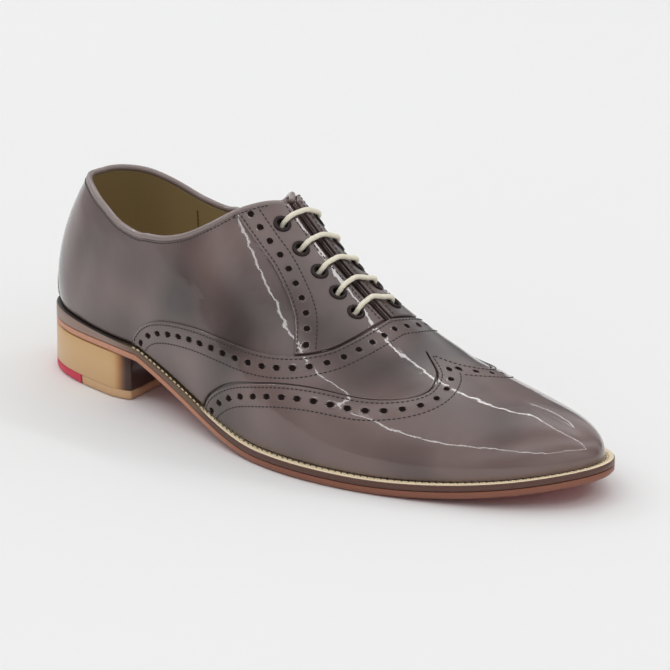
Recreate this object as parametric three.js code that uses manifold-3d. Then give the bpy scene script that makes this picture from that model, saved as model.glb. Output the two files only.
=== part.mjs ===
// Full brogue: a wing-tip Oxford for the right foot, size 42, standing on its heel and forefoot.
// Millimetres. +X runs from the heel to the toe, +Y to the inner side of the foot, +Z up.
// Every leather piece is worked out from one surface, the outside of the shoe on its last:
// skinPoint(along, around, height) takes shares from heel to toe and from ridge to sole edge.

import * as THREE from 'three';
import { mergeVertices } from 'three/addons/utils/BufferGeometryUtils.js';
import Module from 'manifold-3d';

const wasm = await Module();
wasm.setup();

// Driving sizes

const LAST_LENGTH = 288;        // sole edge of the upper, heel back to toe tip
const BALL_WIDTH = 92;          // sole edge of the upper across the ball
const INSTEP_HEIGHT = 92;       // ridge above the sole edge at the top of the throat
const HEEL_HEIGHT = 20.8;       // floor to the underside of the outsole over the heel
const HEEL_LENGTH = 65;         // back of the last to the breast of the heel
const BREAST_HOLLOW = 4;        // how far the heel's breast curves in
const HEEL_CORNER = 6;          // rounding of the breast corners
const LIFT_THICKNESS = 4.2;     // rubber top piece of the heel
const INSERT_START = 35;        // where the insert's chord leaves the outer side, from the back
const OUTSOLE_THICKNESS = 3;
const SOLE_BEVEL = 0.9;
const WELT_THICKNESS = 2.7;
const RAND_THICKNESS = 5.7;     // welt built up at the back of the heel seat
const BREAST_RAND = 2.3;        // and at the breast
const WELT_AT_TOE = 5;          // how far the welt stands out of the upper
const WELT_AT_BALL = 4.5;
const WELT_AT_WAIST = 2.2;
const WELT_AT_HEEL = 1.2;
const TOE_SPRING = 9.7;         // underside of the outsole at the toe tip
const TREAD_START = 160;        // flat of the forefoot, from the back of the last
const TREAD_END = 205;
const SHANK_SLOPE = -0.25;      // slope of the sole just in front of the breast
const UPPER_WALL = 2;           // leather and lining together
const OVERLAY = 1;              // vamp, facings and back strip
const CAP_OVERLAY = 1.5;        // the wing cap lies over the vamp's edge
const INSOLE_RISE = 2.5;        // insole above the upper's sole edge
const TONGUE_THICKNESS = 2;
const BEAD_WIDTH = 2.8;         // rolled edge of the topline
const THROAT_WIDTH = 4;         // gap between the facings
const EYELET_ROWS = 25;         // between the two rows of eyelets, over the instep
const EYELET_BORE = 4.4;
const EYELET_WIDTH = 8;
const EYELET_PAIRS = 5;
const LACE_WIDTH = 2.4;
const GAP = 0.3;                // between pieces that touch
const OVERLAY_GAP = 0.45;       // between the wall and the curved panels on it
const OUTLINE_STEPS = 38;       // straight stretches along each side of the sole

// Sections of the last, heel to toe. along: share of LAST_LENGTH; outer, inner and ridge:
// shares of BALL_WIDTH; top: share of INSTEP_HEIGHT; bulge: share of BALL_WIDTH that the wall
// swells past the sole edge; rise and crown: how far up and how far out the section is full.

const SECTIONS = [
  { along: -0.004, outer: 0, inner: 0, top: 0.826, ridge: 0.005, bulge: 0.076, rise: 0.3, crown: 0.6 },
  { along: 0.01, outer: 0.171, inner: 0.184, top: 0.848, ridge: 0.006, bulge: 0.072, rise: 0.3, crown: 0.6 },
  { along: 0.065, outer: 0.302, inner: 0.315, top: 0.908, ridge: 0.007, bulge: 0.061, rise: 0.33, crown: 0.66 },
  { along: 0.16, outer: 0.35, inner: 0.337, top: 1.003, ridge: 0.008, bulge: 0.046, rise: 0.409, crown: 0.72 },
  { along: 0.27, outer: 0.384, inner: 0.314, top: 1.096, ridge: 0.01, bulge: 0.052, rise: 0.483, crown: 0.666 },
  { along: 0.38, outer: 0.441, inner: 0.284, top: 1.026, ridge: 0.021, bulge: 0.067, rise: 0.516, crown: 0.599 },
  { along: 0.49, outer: 0.515, inner: 0.309, top: 0.866, ridge: 0.028, bulge: 0.058, rise: 0.505, crown: 0.588 },
  { along: 0.6, outer: 0.556, inner: 0.412, top: 0.669, ridge: 0.029, bulge: 0.037, rise: 0.485, crown: 0.606 },
  { along: 0.7, outer: 0.516, inner: 0.506, top: 0.503, ridge: 0.034, bulge: 0.03, rise: 0.458, crown: 0.638 },
  { along: 0.79, outer: 0.424, inner: 0.514, top: 0.39, ridge: 0.051, bulge: 0.027, rise: 0.469, crown: 0.669 },
  { along: 0.87, outer: 0.311, inner: 0.454, top: 0.311, ridge: 0.069, bulge: 0.024, rise: 0.5, crown: 0.7 },
  { along: 0.94, outer: 0.182, inner: 0.354, top: 0.251, ridge: 0.078, bulge: 0.021, rise: 0.532, crown: 0.713 },
  { along: 0.99, outer: 0.01, inner: 0.229, top: 0.206, ridge: 0.086, bulge: 0.014, rise: 0.549, crown: 0.711 },
  { along: 1.006, outer: -0.107, inner: 0.107, top: 0.183, ridge: 0.088, bulge: 0.014, rise: 0.551, crown: 0.712 },
];
const RIDGE_START = 0.103;      // ends of the ridge line, shares of LAST_LENGTH
const RIDGE_END = 0.883;

// Edges of the pieces on that surface. along: heel to toe, 0 to 1. Heights on the wall run
// from 0 at the ridge to 1 at the sole edge. foot: where that column of the wall stands.

const TOPLINE = [
  { foot: 0, along: 0, outer: 0.33, inner: 0.33 },
  { foot: 0.05, along: 0.05, outer: 0.346, inner: 0.346 },
  { foot: 0.1, along: 0.1, outer: 0.38, inner: 0.38 },
  { foot: 0.15, along: 0.15, outer: 0.433, inner: 0.433 },
  { foot: 0.2, along: 0.2, outer: 0.515, inner: 0.517 },
  { foot: 0.25, along: 0.25, outer: 0.6, inner: 0.605 },
  { foot: 0.295, along: 0.3, outer: 0.638, inner: 0.645 },
  { foot: 0.335, along: 0.345, outer: 0.575, inner: 0.58 },
  { foot: 0.365, along: 0.38, outer: 0.445, inner: 0.45 },
  { foot: 0.395, along: 0.408, outer: 0.25, inner: 0.255 },
  { foot: 0.425, along: 0.43, outer: 0.037, inner: 0.037 },
];
const THROAT_TOP = 0.43;
const THROAT_END = 0.605;
const VAMP_EDGE = [             // rear edge of the vamp, sole edge to ridge
  { height: 1, along: 0.287 },
  { height: 0.96, along: 0.29 },
  { height: 0.88, along: 0.319 },
  { height: 0.78, along: 0.388 },
  { height: 0.65, along: 0.476 },
  { height: 0.537, along: 0.529 },
  { height: 0.4, along: 0.564 },
  { height: 0.26, along: 0.583 },
  { height: 0.12, along: 0.595 },
  { height: 0, along: 0.602 },
];
const WING_EDGE = [             // rear edge of the wing cap, sole edge to its peak
  { height: 1, along: 0.41 },
  { height: 0.93, along: 0.424 },
  { height: 0.82, along: 0.46 },
  { height: 0.72, along: 0.506 },
  { height: 0.6, along: 0.568 },
  { height: 0.5, along: 0.63 },
  { height: 0.38, along: 0.679 },
  { height: 0.27, along: 0.705 },
  { height: 0.16, along: 0.712 },
  { height: 0.08, along: 0.706 },
  { height: 0, along: 0.675 },
];
const FACING_EDGE = [           // rear edge of the facings, topline to vamp
  { along: 0.4, height: 0.337 },
  { along: 0.437, height: 0.334 },
  { along: 0.464, height: 0.329 },
  { along: 0.487, height: 0.349 },
  { along: 0.502, height: 0.373 },
  { along: 0.514, height: 0.408 },
  { along: 0.523, height: 0.464 },
  { along: 0.531, height: 0.53 },
];
const STRIP_HALF = [            // half width of the back strip, topline to sole, shares of 1 along
  { height: 0, half: 0.028 },
  { height: 0.5, half: 0.034 },
  { height: 1, half: 0.075 },
];
const EYELET_FIRST = 0.443;
const EYELET_LAST = 0.566;
const TONGUE_TOP = 0.42;
const TONGUE_END = 0.655;
const TONGUE_HALF = 0.3;        // half width of the tongue, a height on the wall

// Colours and finishes

const MATERIALS = {
  patent: { color: 0x7d6e6c, roughness: 0.12, metalness: 0 },
  edging: { color: 0x8f807b, roughness: 0.25, metalness: 0 },
  lining: { color: 0x9c8760, roughness: 0.7, metalness: 0 },
  welt: { color: 0xd8c39a, roughness: 0.6, metalness: 0 },
  sole: { color: 0xa01c26, roughness: 0.3, metalness: 0 },
  wood: { color: 0xc8a475, roughness: 0.5, metalness: 0 },
  rubber: { color: 0xc69c76, roughness: 0.8, metalness: 0 },
  insert: { color: 0xc02a34, roughness: 0.5, metalness: 0 },
  eyelet: { color: 0x2a2424, roughness: 0.35, metalness: 0.8 },
  lace: { color: 0xd6ccb2, roughness: 0.8, metalness: 0 },
};

// Curves through a table

/** Value at place (in rows) of a uniform cubic B-spline whose handles are handle(row). */
function bspline(handle, place) {
  const row = THREE.MathUtils.clamp(Math.floor(place), 0, SECTIONS.length - 2);
  const f = place - row;
  const weights = [(1 - f) ** 3, 3 * f ** 3 - 6 * f ** 2 + 4, -3 * f ** 3 + 3 * f ** 2 + 3 * f + 1, f ** 3];
  return weights.reduce((sum, weight, k) => sum + weight * handle(row + k - 1), 0) / 6;
}

/** Value of one column of a table, on a smooth curve through all its rows, at share 0 to 1. */
function through(table, column, share) {
  const place = THREE.MathUtils.clamp(share, 0, 1) * (table.length - 1);
  const row = Math.min(Math.floor(place), table.length - 2);
  const f = place - row;
  const [p0, p1, p2, p3] = [-1, 0, 1, 2].map(
    (k) => table[THREE.MathUtils.clamp(row + k, 0, table.length - 1)][column]);
  return p1 + 0.5 * f * (p2 - p0 + f * (2 * p0 - 5 * p1 + 4 * p2 - p3 + f * (3 * (p1 - p2) + p3 - p0)));
}

/** Reads a table the other way: the value of `column` where `key` takes the value wanted. */
function lookUp(table, key, column, wanted) {
  let [low, high] = [0, 1];
  const rising = table[table.length - 1][key] > table[0][key];
  for (let step = 0; step < 30; step++) {
    const middle = (low + high) / 2;
    if (through(table, key, middle) < wanted === rising) low = middle;
    else high = middle;
  }
  return through(table, column, low);
}

/** Value at x, eased in and out from stop to stop of [x, value]. */
function blend(x, pairs) {
  if (x <= pairs[0][0]) return pairs[0][1];
  for (let k = 1; k < pairs.length; k++) {
    const [[x0, v0], [x1, v1]] = [pairs[k - 1], pairs[k]];
    if (x <= x1) return THREE.MathUtils.lerp(v0, v1, THREE.MathUtils.smoothstep(x, x0, x1));
  }
  return pairs[pairs.length - 1][1];
}

// The bottom of the shoe

/** Height of the outsole's underside: level over the heel, falling shank, flat tread, toe spring. */
function undersideHeight(x) {
  const levelEnd = HEEL_LENGTH + LAST_LENGTH / OUTLINE_STEPS;
  if (x < levelEnd) return HEEL_HEIGHT;
  if (x < TREAD_START) {
    const run = TREAD_START - levelEnd;
    const t = (x - levelEnd) / run;
    return HEEL_HEIGHT * (2 * t ** 3 - 3 * t ** 2 + 1) + SHANK_SLOPE * run * (t ** 3 - 2 * t ** 2 + t);
  }
  if (x < TREAD_END) return 0;
  return TOE_SPRING * ((x - TREAD_END) / (LAST_LENGTH - TREAD_END)) ** 2;
}

/** Thickness of the welt, built up into a wedge under the heel seat. */
function weltThickness(x) {
  return blend(x, [[0, RAND_THICKNESS], [HEEL_LENGTH, BREAST_RAND], [TREAD_START * 0.7, WELT_THICKNESS]]);
}

const weltUnderside = (x) => undersideHeight(x) + OUTSOLE_THICKNESS + GAP;
const seatHeight = (x) => weltUnderside(x) + weltThickness(x) + GAP;

// The last

/** Passing the end of one side leads on to the other side. */
function wrap(along, side) {
  if (along < 0) return [-along, -side];
  if (along > 1) return [2 - along, -side];
  return [along, side];
}

/** A column of SECTIONS, mirrored past both ends. */
function section(column, along) {
  const last = SECTIONS.length - 1;
  return bspline((row) => SECTIONS[last - Math.abs(last - Math.abs(row))][column], along * last);
}

/** Sole edge of the upper, in plan. side is -1 on the outer side of the foot and 1 on the inner. */
function solePlan(along, side) {
  [along, side] = wrap(along, side);
  const last = SECTIONS.length - 1;
  const handle = (row) => {
    const { outer, inner } = SECTIONS[last - Math.abs(last - Math.abs(row))];
    return (row < 0 || row > last ? -side : side) < 0 ? -outer : inner;
  };
  return [section('along', along) * LAST_LENGTH, bspline(handle, along * last) * BALL_WIDTH];
}

/** The same edge moved outwards by reach. */
function soleOutline(along, side, reach) {
  const step = 0.002;
  const [x, y] = solePlan(along, side);
  const [x0, y0] = solePlan(along - step, side);
  const [x1, y1] = solePlan(along + step, side);
  const run = Math.hypot(x1 - x0, y1 - y0);
  return [x - side * (y1 - y0) / run * reach, y + side * (x1 - x0) / run * reach];
}

/** Ridge line over the instep and toe. */
function ridgePoint(along) {
  const x = section('along', along) * LAST_LENGTH;
  return new THREE.Vector3(
    (RIDGE_START + section('along', along) * (RIDGE_END - RIDGE_START)) * LAST_LENGTH,
    section('ridge', along) * BALL_WIDTH,
    seatHeight(x) + section('top', along) * INSTEP_HEIGHT);
}

/** Point on the shoe's skin. around is 0 on the ridge, -1 on the outer and 1 on the inner sole edge. */
function lastPoint(along, around) {
  const [share, side] = wrap(along, around < 0 ? -1 : 1);
  const down = Math.abs(around);
  const [x, y] = solePlan(share, side);
  const foot = new THREE.Vector3(x, y, seatHeight(x));
  const ridge = ridgePoint(share);
  const before = ridgePoint(THREE.MathUtils.clamp(share - 0.01, 0, 0.98));
  const after = ridgePoint(THREE.MathUtils.clamp(share + 0.01, 0.02, 1));
  const slope = (after.z - before.z) / (after.x - before.x);
  const [swellX, swellY] = soleOutline(share, side, section('bulge', share) * BALL_WIDTH);
  const wall = new THREE.Vector3(swellX, swellY, foot.z + section('rise', share) * (ridge.z - foot.z));
  const crown = section('crown', share);
  const reach = crown * (foot.x - ridge.x);
  const roof = new THREE.Vector3(ridge.x + reach, ridge.y + crown * (foot.y - ridge.y), ridge.z + slope * reach);
  const up = 1 - down;
  return ridge.multiplyScalar(up ** 3)
    .addScaledVector(roof, 3 * down * up ** 2)
    .addScaledVector(wall, 3 * down ** 2 * up)
    .addScaledVector(foot, down ** 3);
}

/** Outward normal of the skin, by differences; the ridge's two ends borrow their neighbour's. */
function skinNormal(along, around) {
  const step = 0.004;
  const a = Math.abs(around) < 0.08 ? THREE.MathUtils.clamp(along, 0.03, 0.97) : along;
  const v = THREE.MathUtils.clamp(around, step - 1, 1 - step);
  const lengthwise = lastPoint(a + step, v).sub(lastPoint(a - step, v));
  const across = lastPoint(a, v + step).sub(lastPoint(a, v - step));
  return lengthwise.cross(across).normalize();
}

const skinPoint = (along, around, height) =>
  lastPoint(along, around).addScaledVector(skinNormal(along, around), height);

// Heights of the layers over the skin

const WALL_OUT = -OVERLAY;
const WALL_IN = WALL_OUT - UPPER_WALL;
const LAYER_IN = WALL_OUT + OVERLAY_GAP;
const LAYER_OUT = LAYER_IN + OVERLAY;
const CAP_OUT = LAYER_IN + CAP_OVERLAY;

// Building closed bodies

/** Collects triangles, with vertices at one place made one vertex. */
class Facets {
  constructor() {
    this.points = [];
    this.faces = [];
    this.seen = new Map();
  }

  add(point) {
    const key = [point.x, point.y, point.z].map((value) => Math.round(value * 1e4)).join();
    if (!this.seen.has(key)) this.seen.set(key, this.points.push(point) - 1);
    return this.seen.get(key);
  }

  face(a, b, c) {
    if (a !== b && b !== c && c !== a) this.faces.push([a, b, c]);
  }

  quad(a, b, c, d) {
    this.face(a, b, c);
    this.face(a, c, d);
  }

  geometry() {
    const geometry = new THREE.BufferGeometry();
    geometry.setAttribute('position', new THREE.Float32BufferAttribute(this.points.flatMap((p) => p.toArray()), 3));
    geometry.setIndex(this.faces.flat());
    geometry.computeVertexNormals();
    return geometry;
  }
}

/** A sheet of leather on the skin: grids of [along, around] places, joined where they meet. */
class Sheet {
  constructor() {
    this.skin = new Facets();
    this.places = [];
  }

  addGrid(columns, rows, place) {
    const index = (i, j) => {
      const [along, around] = place(i / columns, j / rows);
      const vertex = this.skin.add(lastPoint(along, around));
      this.places[vertex] ??= [along, around];
      return vertex;
    };
    for (let i = 0; i < columns; i++) {
      for (let j = 0; j < rows; j++) {
        this.addQuad(index(i, j), index(i + 1, j), index(i + 1, j + 1), index(i, j + 1));
      }
    }
    return this;
  }

  /** Splits a quad along its shorter diagonal, which lies closer to the curved skin. */
  addQuad(a, b, c, d) {
    const { points } = this.skin;
    if (points[a].distanceTo(points[c]) > points[b].distanceTo(points[d])) [a, b, c, d] = [b, c, d, a];
    this.addOutward(a, b, c);
    this.addOutward(a, c, d);
  }

  addOutward(a, b, c) {
    const [p, q, r] = [a, b, c].map((vertex) => this.skin.points[vertex]);
    const normal = q.clone().sub(p).cross(r.clone().sub(p));
    const outward = skinNormal(...this.places[b]).add(skinNormal(...this.places[c]));
    if (normal.dot(outward) > 0) this.skin.face(a, b, c);
    else this.skin.face(a, c, b);
  }

  /** Closed body between two heights over the skin. */
  thicken(inner, outer) {
    const count = this.places.length;
    const body = new Facets();
    for (const height of [outer, inner]) {
      for (const [along, around] of this.places) body.points.push(skinPoint(along, around, height));
    }
    const edges = new Set();
    for (const [a, b, c] of this.skin.faces) {
      body.face(a, b, c);
      body.face(a + count, c + count, b + count);
      for (const [from, to] of [[a, b], [b, c], [c, a]]) edges.add(`${from},${to}`);
    }
    for (const edge of edges) {
      const [from, to] = edge.split(',').map(Number);
      if (!edges.has(`${to},${from}`)) body.quad(to, from, from + count, to + count);
    }
    return body.geometry();
  }
}

/** Corner-fitted patch between four edges of a piece, each a function of a share to [along, around]. */
function patch(top, bottom, rear, front) {
  return (s, t) => [0, 1].map((k) => {
    const lengthwise = (1 - t) * top(s)[k] + t * bottom(s)[k];
    const across = (1 - s) * rear(t)[k] + s * front(t)[k];
    const corners = (1 - s) * ((1 - t) * top(0)[k] + t * bottom(0)[k]) + s * ((1 - t) * top(1)[k] + t * bottom(1)[k]);
    return lengthwise + across - corners;
  });
}

/** Body of the sole: closed outlines stacked by rings of { reach, height }, seen from below upwards. */
function stackOutlines(rings, hollow = false) {
  const body = new Facets();
  const loops = rings.map(({ reach, height }) => {
    const loop = [];
    for (const side of [-1, 1]) {
      for (let i = 0; i < OUTLINE_STEPS; i++) {
        const along = (side < 0 ? i : OUTLINE_STEPS - i) / OUTLINE_STEPS;
        const [x, y] = soleOutline(along, side, reach(along));
        loop.push(body.add(new THREE.Vector3(x, y, height(x))));
      }
    }
    return loop;
  });
  const count = 2 * OUTLINE_STEPS;
  const walls = hollow ? loops.length : loops.length - 1;
  for (let k = 0; k < walls; k++) {
    const [low, high] = [loops[k], loops[(k + 1) % loops.length]];
    for (let i = 0; i < count; i++) {
      const next = (i + 1) % count;
      body.quad(low[i], low[next], high[next], high[i]);
    }
  }
  if (!hollow) {
    const [bottom, top] = [loops[0], loops[loops.length - 1]];
    for (let i = 0; i < OUTLINE_STEPS; i++) {
      const [across, back] = [(count - i) % count, count - i - 1];
      body.quad(bottom[i], bottom[across], bottom[back], bottom[i + 1]);
      body.quad(top[i], top[i + 1], top[back], top[across]);
    }
  }
  return body.geometry();
}

/** Cuts solids out of a closed geometry. */
function subtract(geometry, tools) {
  const solid = (source) => {
    const bare = source.clone();
    bare.deleteAttribute('normal');
    bare.deleteAttribute('uv');
    const merged = mergeVertices(bare, 1e-4);
    return new wasm.Manifold(new wasm.Mesh({
      numProp: 3,
      vertProperties: new Float32Array(merged.attributes.position.array),
      triVerts: new Uint32Array(merged.index.array),
    }));
  };
  let body = solid(geometry);
  for (const tool of tools) body = body.subtract(solid(tool));
  const mesh = body.getMesh();
  const cut = new THREE.BufferGeometry();
  cut.setAttribute('position', new THREE.BufferAttribute(mesh.vertProperties, 3));
  cut.setIndex(new THREE.BufferAttribute(mesh.triVerts, 1));
  cut.computeVertexNormals();
  return cut;
}

const pieces = [];

function addPiece(name, geometry, material) {
  const mesh = new THREE.Mesh(geometry, new THREE.MeshStandardMaterial(MATERIALS[material]));
  mesh.name = name;
  pieces.push(mesh);
  return mesh;
}

// Sole, welt, insole and heel

/** How far the welt stands out of the upper. */
function weltReach(along) {
  return blend(along, [[0.2, WELT_AT_HEEL], [0.36, WELT_AT_WAIST], [0.55, WELT_AT_BALL], [0.95, WELT_AT_TOE]]);
}

const WALL_DEPTH = OVERLAY + UPPER_WALL;

const outsole = addPiece('outsole', stackOutlines([
  { reach: (along) => weltReach(along) - SOLE_BEVEL, height: undersideHeight },
  { reach: weltReach, height: (x) => undersideHeight(x) + SOLE_BEVEL },
  { reach: weltReach, height: (x) => undersideHeight(x) + OUTSOLE_THICKNESS },
]), 'sole');

addPiece('welt', stackOutlines([
  { reach: (along) => weltReach(along) - GAP, height: weltUnderside },
  { reach: (along) => weltReach(along) - GAP, height: (x) => weltUnderside(x) + weltThickness(x) },
  { reach: () => -WALL_DEPTH, height: (x) => weltUnderside(x) + weltThickness(x) },
  { reach: () => -WALL_DEPTH, height: weltUnderside },
], true), 'welt');

addPiece('insole', stackOutlines([
  { reach: () => -WALL_DEPTH - 2 * GAP, height: weltUnderside },
  { reach: () => -WALL_DEPTH - 2 * GAP, height: (x) => seatHeight(x) + INSOLE_RISE },
]), 'lining');

/** Outline of the heel in plan: the sole's edge to the breast, rounded corners and a hollow breast. */
function heelOutline() {
  const edge = (side) => {
    const points = [];
    for (let along = 0; solePlan(along, side)[0] < HEEL_LENGTH - HEEL_CORNER; along += 0.018) {
      points.push(new THREE.Vector2(...soleOutline(along, side, WELT_AT_HEEL)));
    }
    return points;
  };
  const [outer, inner] = [edge(-1), edge(1)];
  const [outerEnd, innerEnd] = [outer[outer.length - 1], inner[inner.length - 1]];
  const breast = new THREE.SplineCurve([
    outerEnd,
    new THREE.Vector2(HEEL_LENGTH - 0.2 * HEEL_CORNER, outerEnd.y + 0.3 * HEEL_CORNER),
    new THREE.Vector2(HEEL_LENGTH - 0.1 * BREAST_HOLLOW, outerEnd.y + 1.2 * HEEL_CORNER),
    new THREE.Vector2(HEEL_LENGTH - BREAST_HOLLOW, (outerEnd.y + innerEnd.y) / 2),
    new THREE.Vector2(HEEL_LENGTH - 0.1 * BREAST_HOLLOW, innerEnd.y - 1.2 * HEEL_CORNER),
    new THREE.Vector2(HEEL_LENGTH - 0.2 * HEEL_CORNER, innerEnd.y - 0.3 * HEEL_CORNER),
    innerEnd,
  ]);
  return [...outer, ...breast.getPoints(18).slice(1, -1), ...inner.slice(1).reverse()];
}

/** The part of an outline on the positive side of a line, moved off it by half a gap. */
function cutOutline(points, origin, normal) {
  const kept = [];
  const depth = (point) => point.clone().sub(origin).dot(normal) - GAP / 2;
  points.forEach((point, i) => {
    const next = points[(i + 1) % points.length];
    const [here, there] = [depth(point), depth(next)];
    if (here >= 0) kept.push(point);
    if (here * there < 0) kept.push(point.clone().lerp(next, here / (here - there)));
  });
  return kept;
}

/** Upright prism on an outline. */
function prism(points, low, high) {
  const geometry = new THREE.ExtrudeGeometry(new THREE.Shape(points), { depth: high - low, bevelEnabled: false });
  return geometry.translate(0, 0, low);
}

const heel = heelOutline();
const chordStart = heel.reduce((best, point) =>
  (point.y < 0 && Math.abs(point.x - INSERT_START) < Math.abs(best.x - INSERT_START) ? point : best));
const chord = heel[0].clone().sub(chordStart).normalize();
const chordNormal = new THREE.Vector2(-chord.y, chord.x);

addPiece('heel_block', prism(heel, LIFT_THICKNESS + GAP, HEEL_HEIGHT - GAP), 'wood');
addPiece('heel_lift', prism(cutOutline(heel, chordStart, chordNormal.clone().negate()), 0, LIFT_THICKNESS), 'rubber');
addPiece('heel_insert', prism(cutOutline(heel, chordStart, chordNormal), 0, LIFT_THICKNESS), 'insert');

// Upper

/** Share of the wall from ridge to sole edge that a given arc over the ridge covers. */
function aroundAtArc(along, arc, side) {
  const steps = 60;
  let [length, previous] = [0, lastPoint(along, 0)];
  for (let i = 1; i <= steps; i++) {
    const point = lastPoint(along, side * i / steps);
    const step = point.distanceTo(previous);
    if (length + step >= arc) return side * (i - 1 + (arc - length) / step) / steps;
    length += step;
    previous = point;
  }
  return side;
}

const throatEdge = (along, side) => aroundAtArc(along, THROAT_WIDTH / 2, side);
const sideHeight = (side) => (side < 0 ? 'outer' : 'inner');

/** Topline of one side, heel back to throat. */
function topline(share, side) {
  return [through(TOPLINE, 'along', share), side * through(TOPLINE, sideHeight(side), share)];
}

const COLLAR_COLUMNS = 18;
const THROAT_COLUMNS = 7;
const TOE_COLUMNS = 16;
const WALL_ROWS = 10;

/** Toe columns, crowded towards the tip where the outline turns fastest. */
const toeAlong = (share) => THREE.MathUtils.lerp(THROAT_END, 1, 1 - (1 - share) ** 1.3);

const upperSheet = new Sheet();
for (const side of [-1, 1]) {
  const column = (foot, top) => (t) => [
    THREE.MathUtils.lerp(foot, top[0], t), THREE.MathUtils.lerp(side, top[1], t)];
  upperSheet.addGrid(COLLAR_COLUMNS, WALL_ROWS, (s, t) =>
    column(through(TOPLINE, 'foot', s), topline(s, side))(t));
  const lastFoot = TOPLINE[TOPLINE.length - 1].foot;
  const corner = topline(1, side);
  upperSheet.addGrid(THROAT_COLUMNS, WALL_ROWS, (s, t) => {
    const along = THREE.MathUtils.lerp(THROAT_TOP, THROAT_END, s);
    const edge = s === 0 ? corner[1] : s === 1 ? 0 : throatEdge(along, side);
    return column(THREE.MathUtils.lerp(lastFoot, THROAT_END, s), [along, edge])(t);
  });
  upperSheet.addGrid(TOE_COLUMNS, WALL_ROWS, (s, t) => column(toeAlong(s), [toeAlong(s), 0])(t));
}

// Eyelets sit in holes through facing and wall

const EYELET_HEIGHT = LAYER_OUT - WALL_IN;
const TUBE_WALL = 0.5;
const TUBE_OUT = EYELET_BORE / 2 + TUBE_WALL;
const EYELET_SIDES = 8;
const eyelets = [];
for (let pair = 0; pair < EYELET_PAIRS; pair++) {
  for (const side of [-1, 1]) {
    const along = THREE.MathUtils.lerp(EYELET_FIRST, EYELET_LAST, pair / (EYELET_PAIRS - 1));
    const around = aroundAtArc(along, EYELET_ROWS / 2, side);
    const axis = skinNormal(along, around);
    const turn = new THREE.Quaternion().setFromUnitVectors(new THREE.Vector3(0, 1, 0), axis);
    const seat = skinPoint(along, around, LAYER_OUT);
    eyelets.push({ pair, side, along, around, axis, turn, seat });
  }
}
const holes = eyelets.map(({ seat, turn }) => {
  const hole = new THREE.CylinderGeometry(TUBE_OUT + GAP, TUBE_OUT + GAP, 4 * EYELET_HEIGHT, EYELET_SIDES);
  return hole.applyQuaternion(turn).translate(...seat.toArray());
});
const nearHoles = (side) => holes.filter((_, i) => eyelets[i].side === side);

addPiece('upper', subtract(upperSheet.thicken(WALL_IN, WALL_OUT), holes), 'patent');

// Overlays cut from the same skin

const PANEL_GAP = 0.003;        // between neighbouring overlays, a share along
const EDGE_MARGIN = 0.004;      // of a facing inside the wall's own edge, a height on the wall
const STRIP_MARGIN = 0.02;      // of the back strip under the topline

/** Rows of a panel from the outer sole edge over the ridge to the inner sole edge. */
const aroundRow = (share) => 2 * share - 1;
const SOLE_MARGIN = 0.995;

const vampSheet = new Sheet().addGrid(8, 2 * WALL_ROWS, (s, t) => {
  const around = aroundRow(t) * SOLE_MARGIN;
  const rear = lookUp(VAMP_EDGE, 'height', 'along', Math.abs(around));
  const front = lookUp(WING_EDGE, 'height', 'along', Math.abs(around)) - PANEL_GAP;
  return [THREE.MathUtils.lerp(rear, front, s), around];
});
addPiece('vamp', vampSheet.thicken(LAYER_IN, LAYER_OUT), 'patent');

const capSheet = new Sheet().addGrid(14, 2 * WALL_ROWS, (s, t) => {
  const around = aroundRow(t) * SOLE_MARGIN;
  const rear = lookUp(WING_EDGE, 'height', 'along', Math.abs(around));
  return [THREE.MathUtils.lerp(rear, 1, 1 - (1 - s) ** 1.2), around];
});
addPiece('wing_cap', capSheet.thicken(LAYER_IN, CAP_OUT), 'patent');

for (const [side, name] of [[-1, 'facing_outer'], [1, 'facing_inner']]) {
  const vampAt = (height) => lookUp(VAMP_EDGE, 'height', 'along', height) - PANEL_GAP;
  const lowEnd = FACING_EDGE[FACING_EDGE.length - 1];
  const top = (s) => {
    const along = THREE.MathUtils.lerp(FACING_EDGE[0].along, THROAT_TOP, s);
    return [along, side * (lookUp(TOPLINE, 'along', sideHeight(side), along) + EDGE_MARGIN)];
  };
  const throatAt = (along) => throatEdge(along, side) + side * EDGE_MARGIN;
  const bottomHeight = (s) => THREE.MathUtils.lerp(lowEnd.height, Math.abs(throatAt(THROAT_END)), s);
  const bottom = (s) => [vampAt(bottomHeight(s)), side * bottomHeight(s)];
  const rear = (t) => [
    THREE.MathUtils.lerp(top(0)[0], bottom(0)[0], t) + through(FACING_EDGE, 'along', t)
      - THREE.MathUtils.lerp(FACING_EDGE[0].along, lowEnd.along, t),
    THREE.MathUtils.lerp(top(0)[1], bottom(0)[1], t) + side * (through(FACING_EDGE, 'height', t)
      - THREE.MathUtils.lerp(FACING_EDGE[0].height, lowEnd.height, t))];
  const front = (t) => {
    const along = THREE.MathUtils.lerp(top(1)[0], bottom(1)[0], t);
    return [along, THREE.MathUtils.lerp(top(1)[1], throatAt(along), Math.min(1, 6 * t))];
  };
  const sheet = new Sheet().addGrid(5, 10, patch(top, bottom, rear, front));
  addPiece(name, subtract(sheet.thicken(LAYER_IN, LAYER_OUT), nearHoles(side)), 'patent');
}

const stripSheet = new Sheet().addGrid(4, 12, (s, t) => {
  const along = (2 * s - 1) * through(STRIP_HALF, 'half', t);
  const top = through(TOPLINE, 'outer', 0) + STRIP_MARGIN;
  return [along, -THREE.MathUtils.lerp(top, SOLE_MARGIN, t)];
});
addPiece('back_strip', stripSheet.thicken(LAYER_IN, LAYER_OUT), 'patent');

// Rolled edge of the topline, tongue

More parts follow.
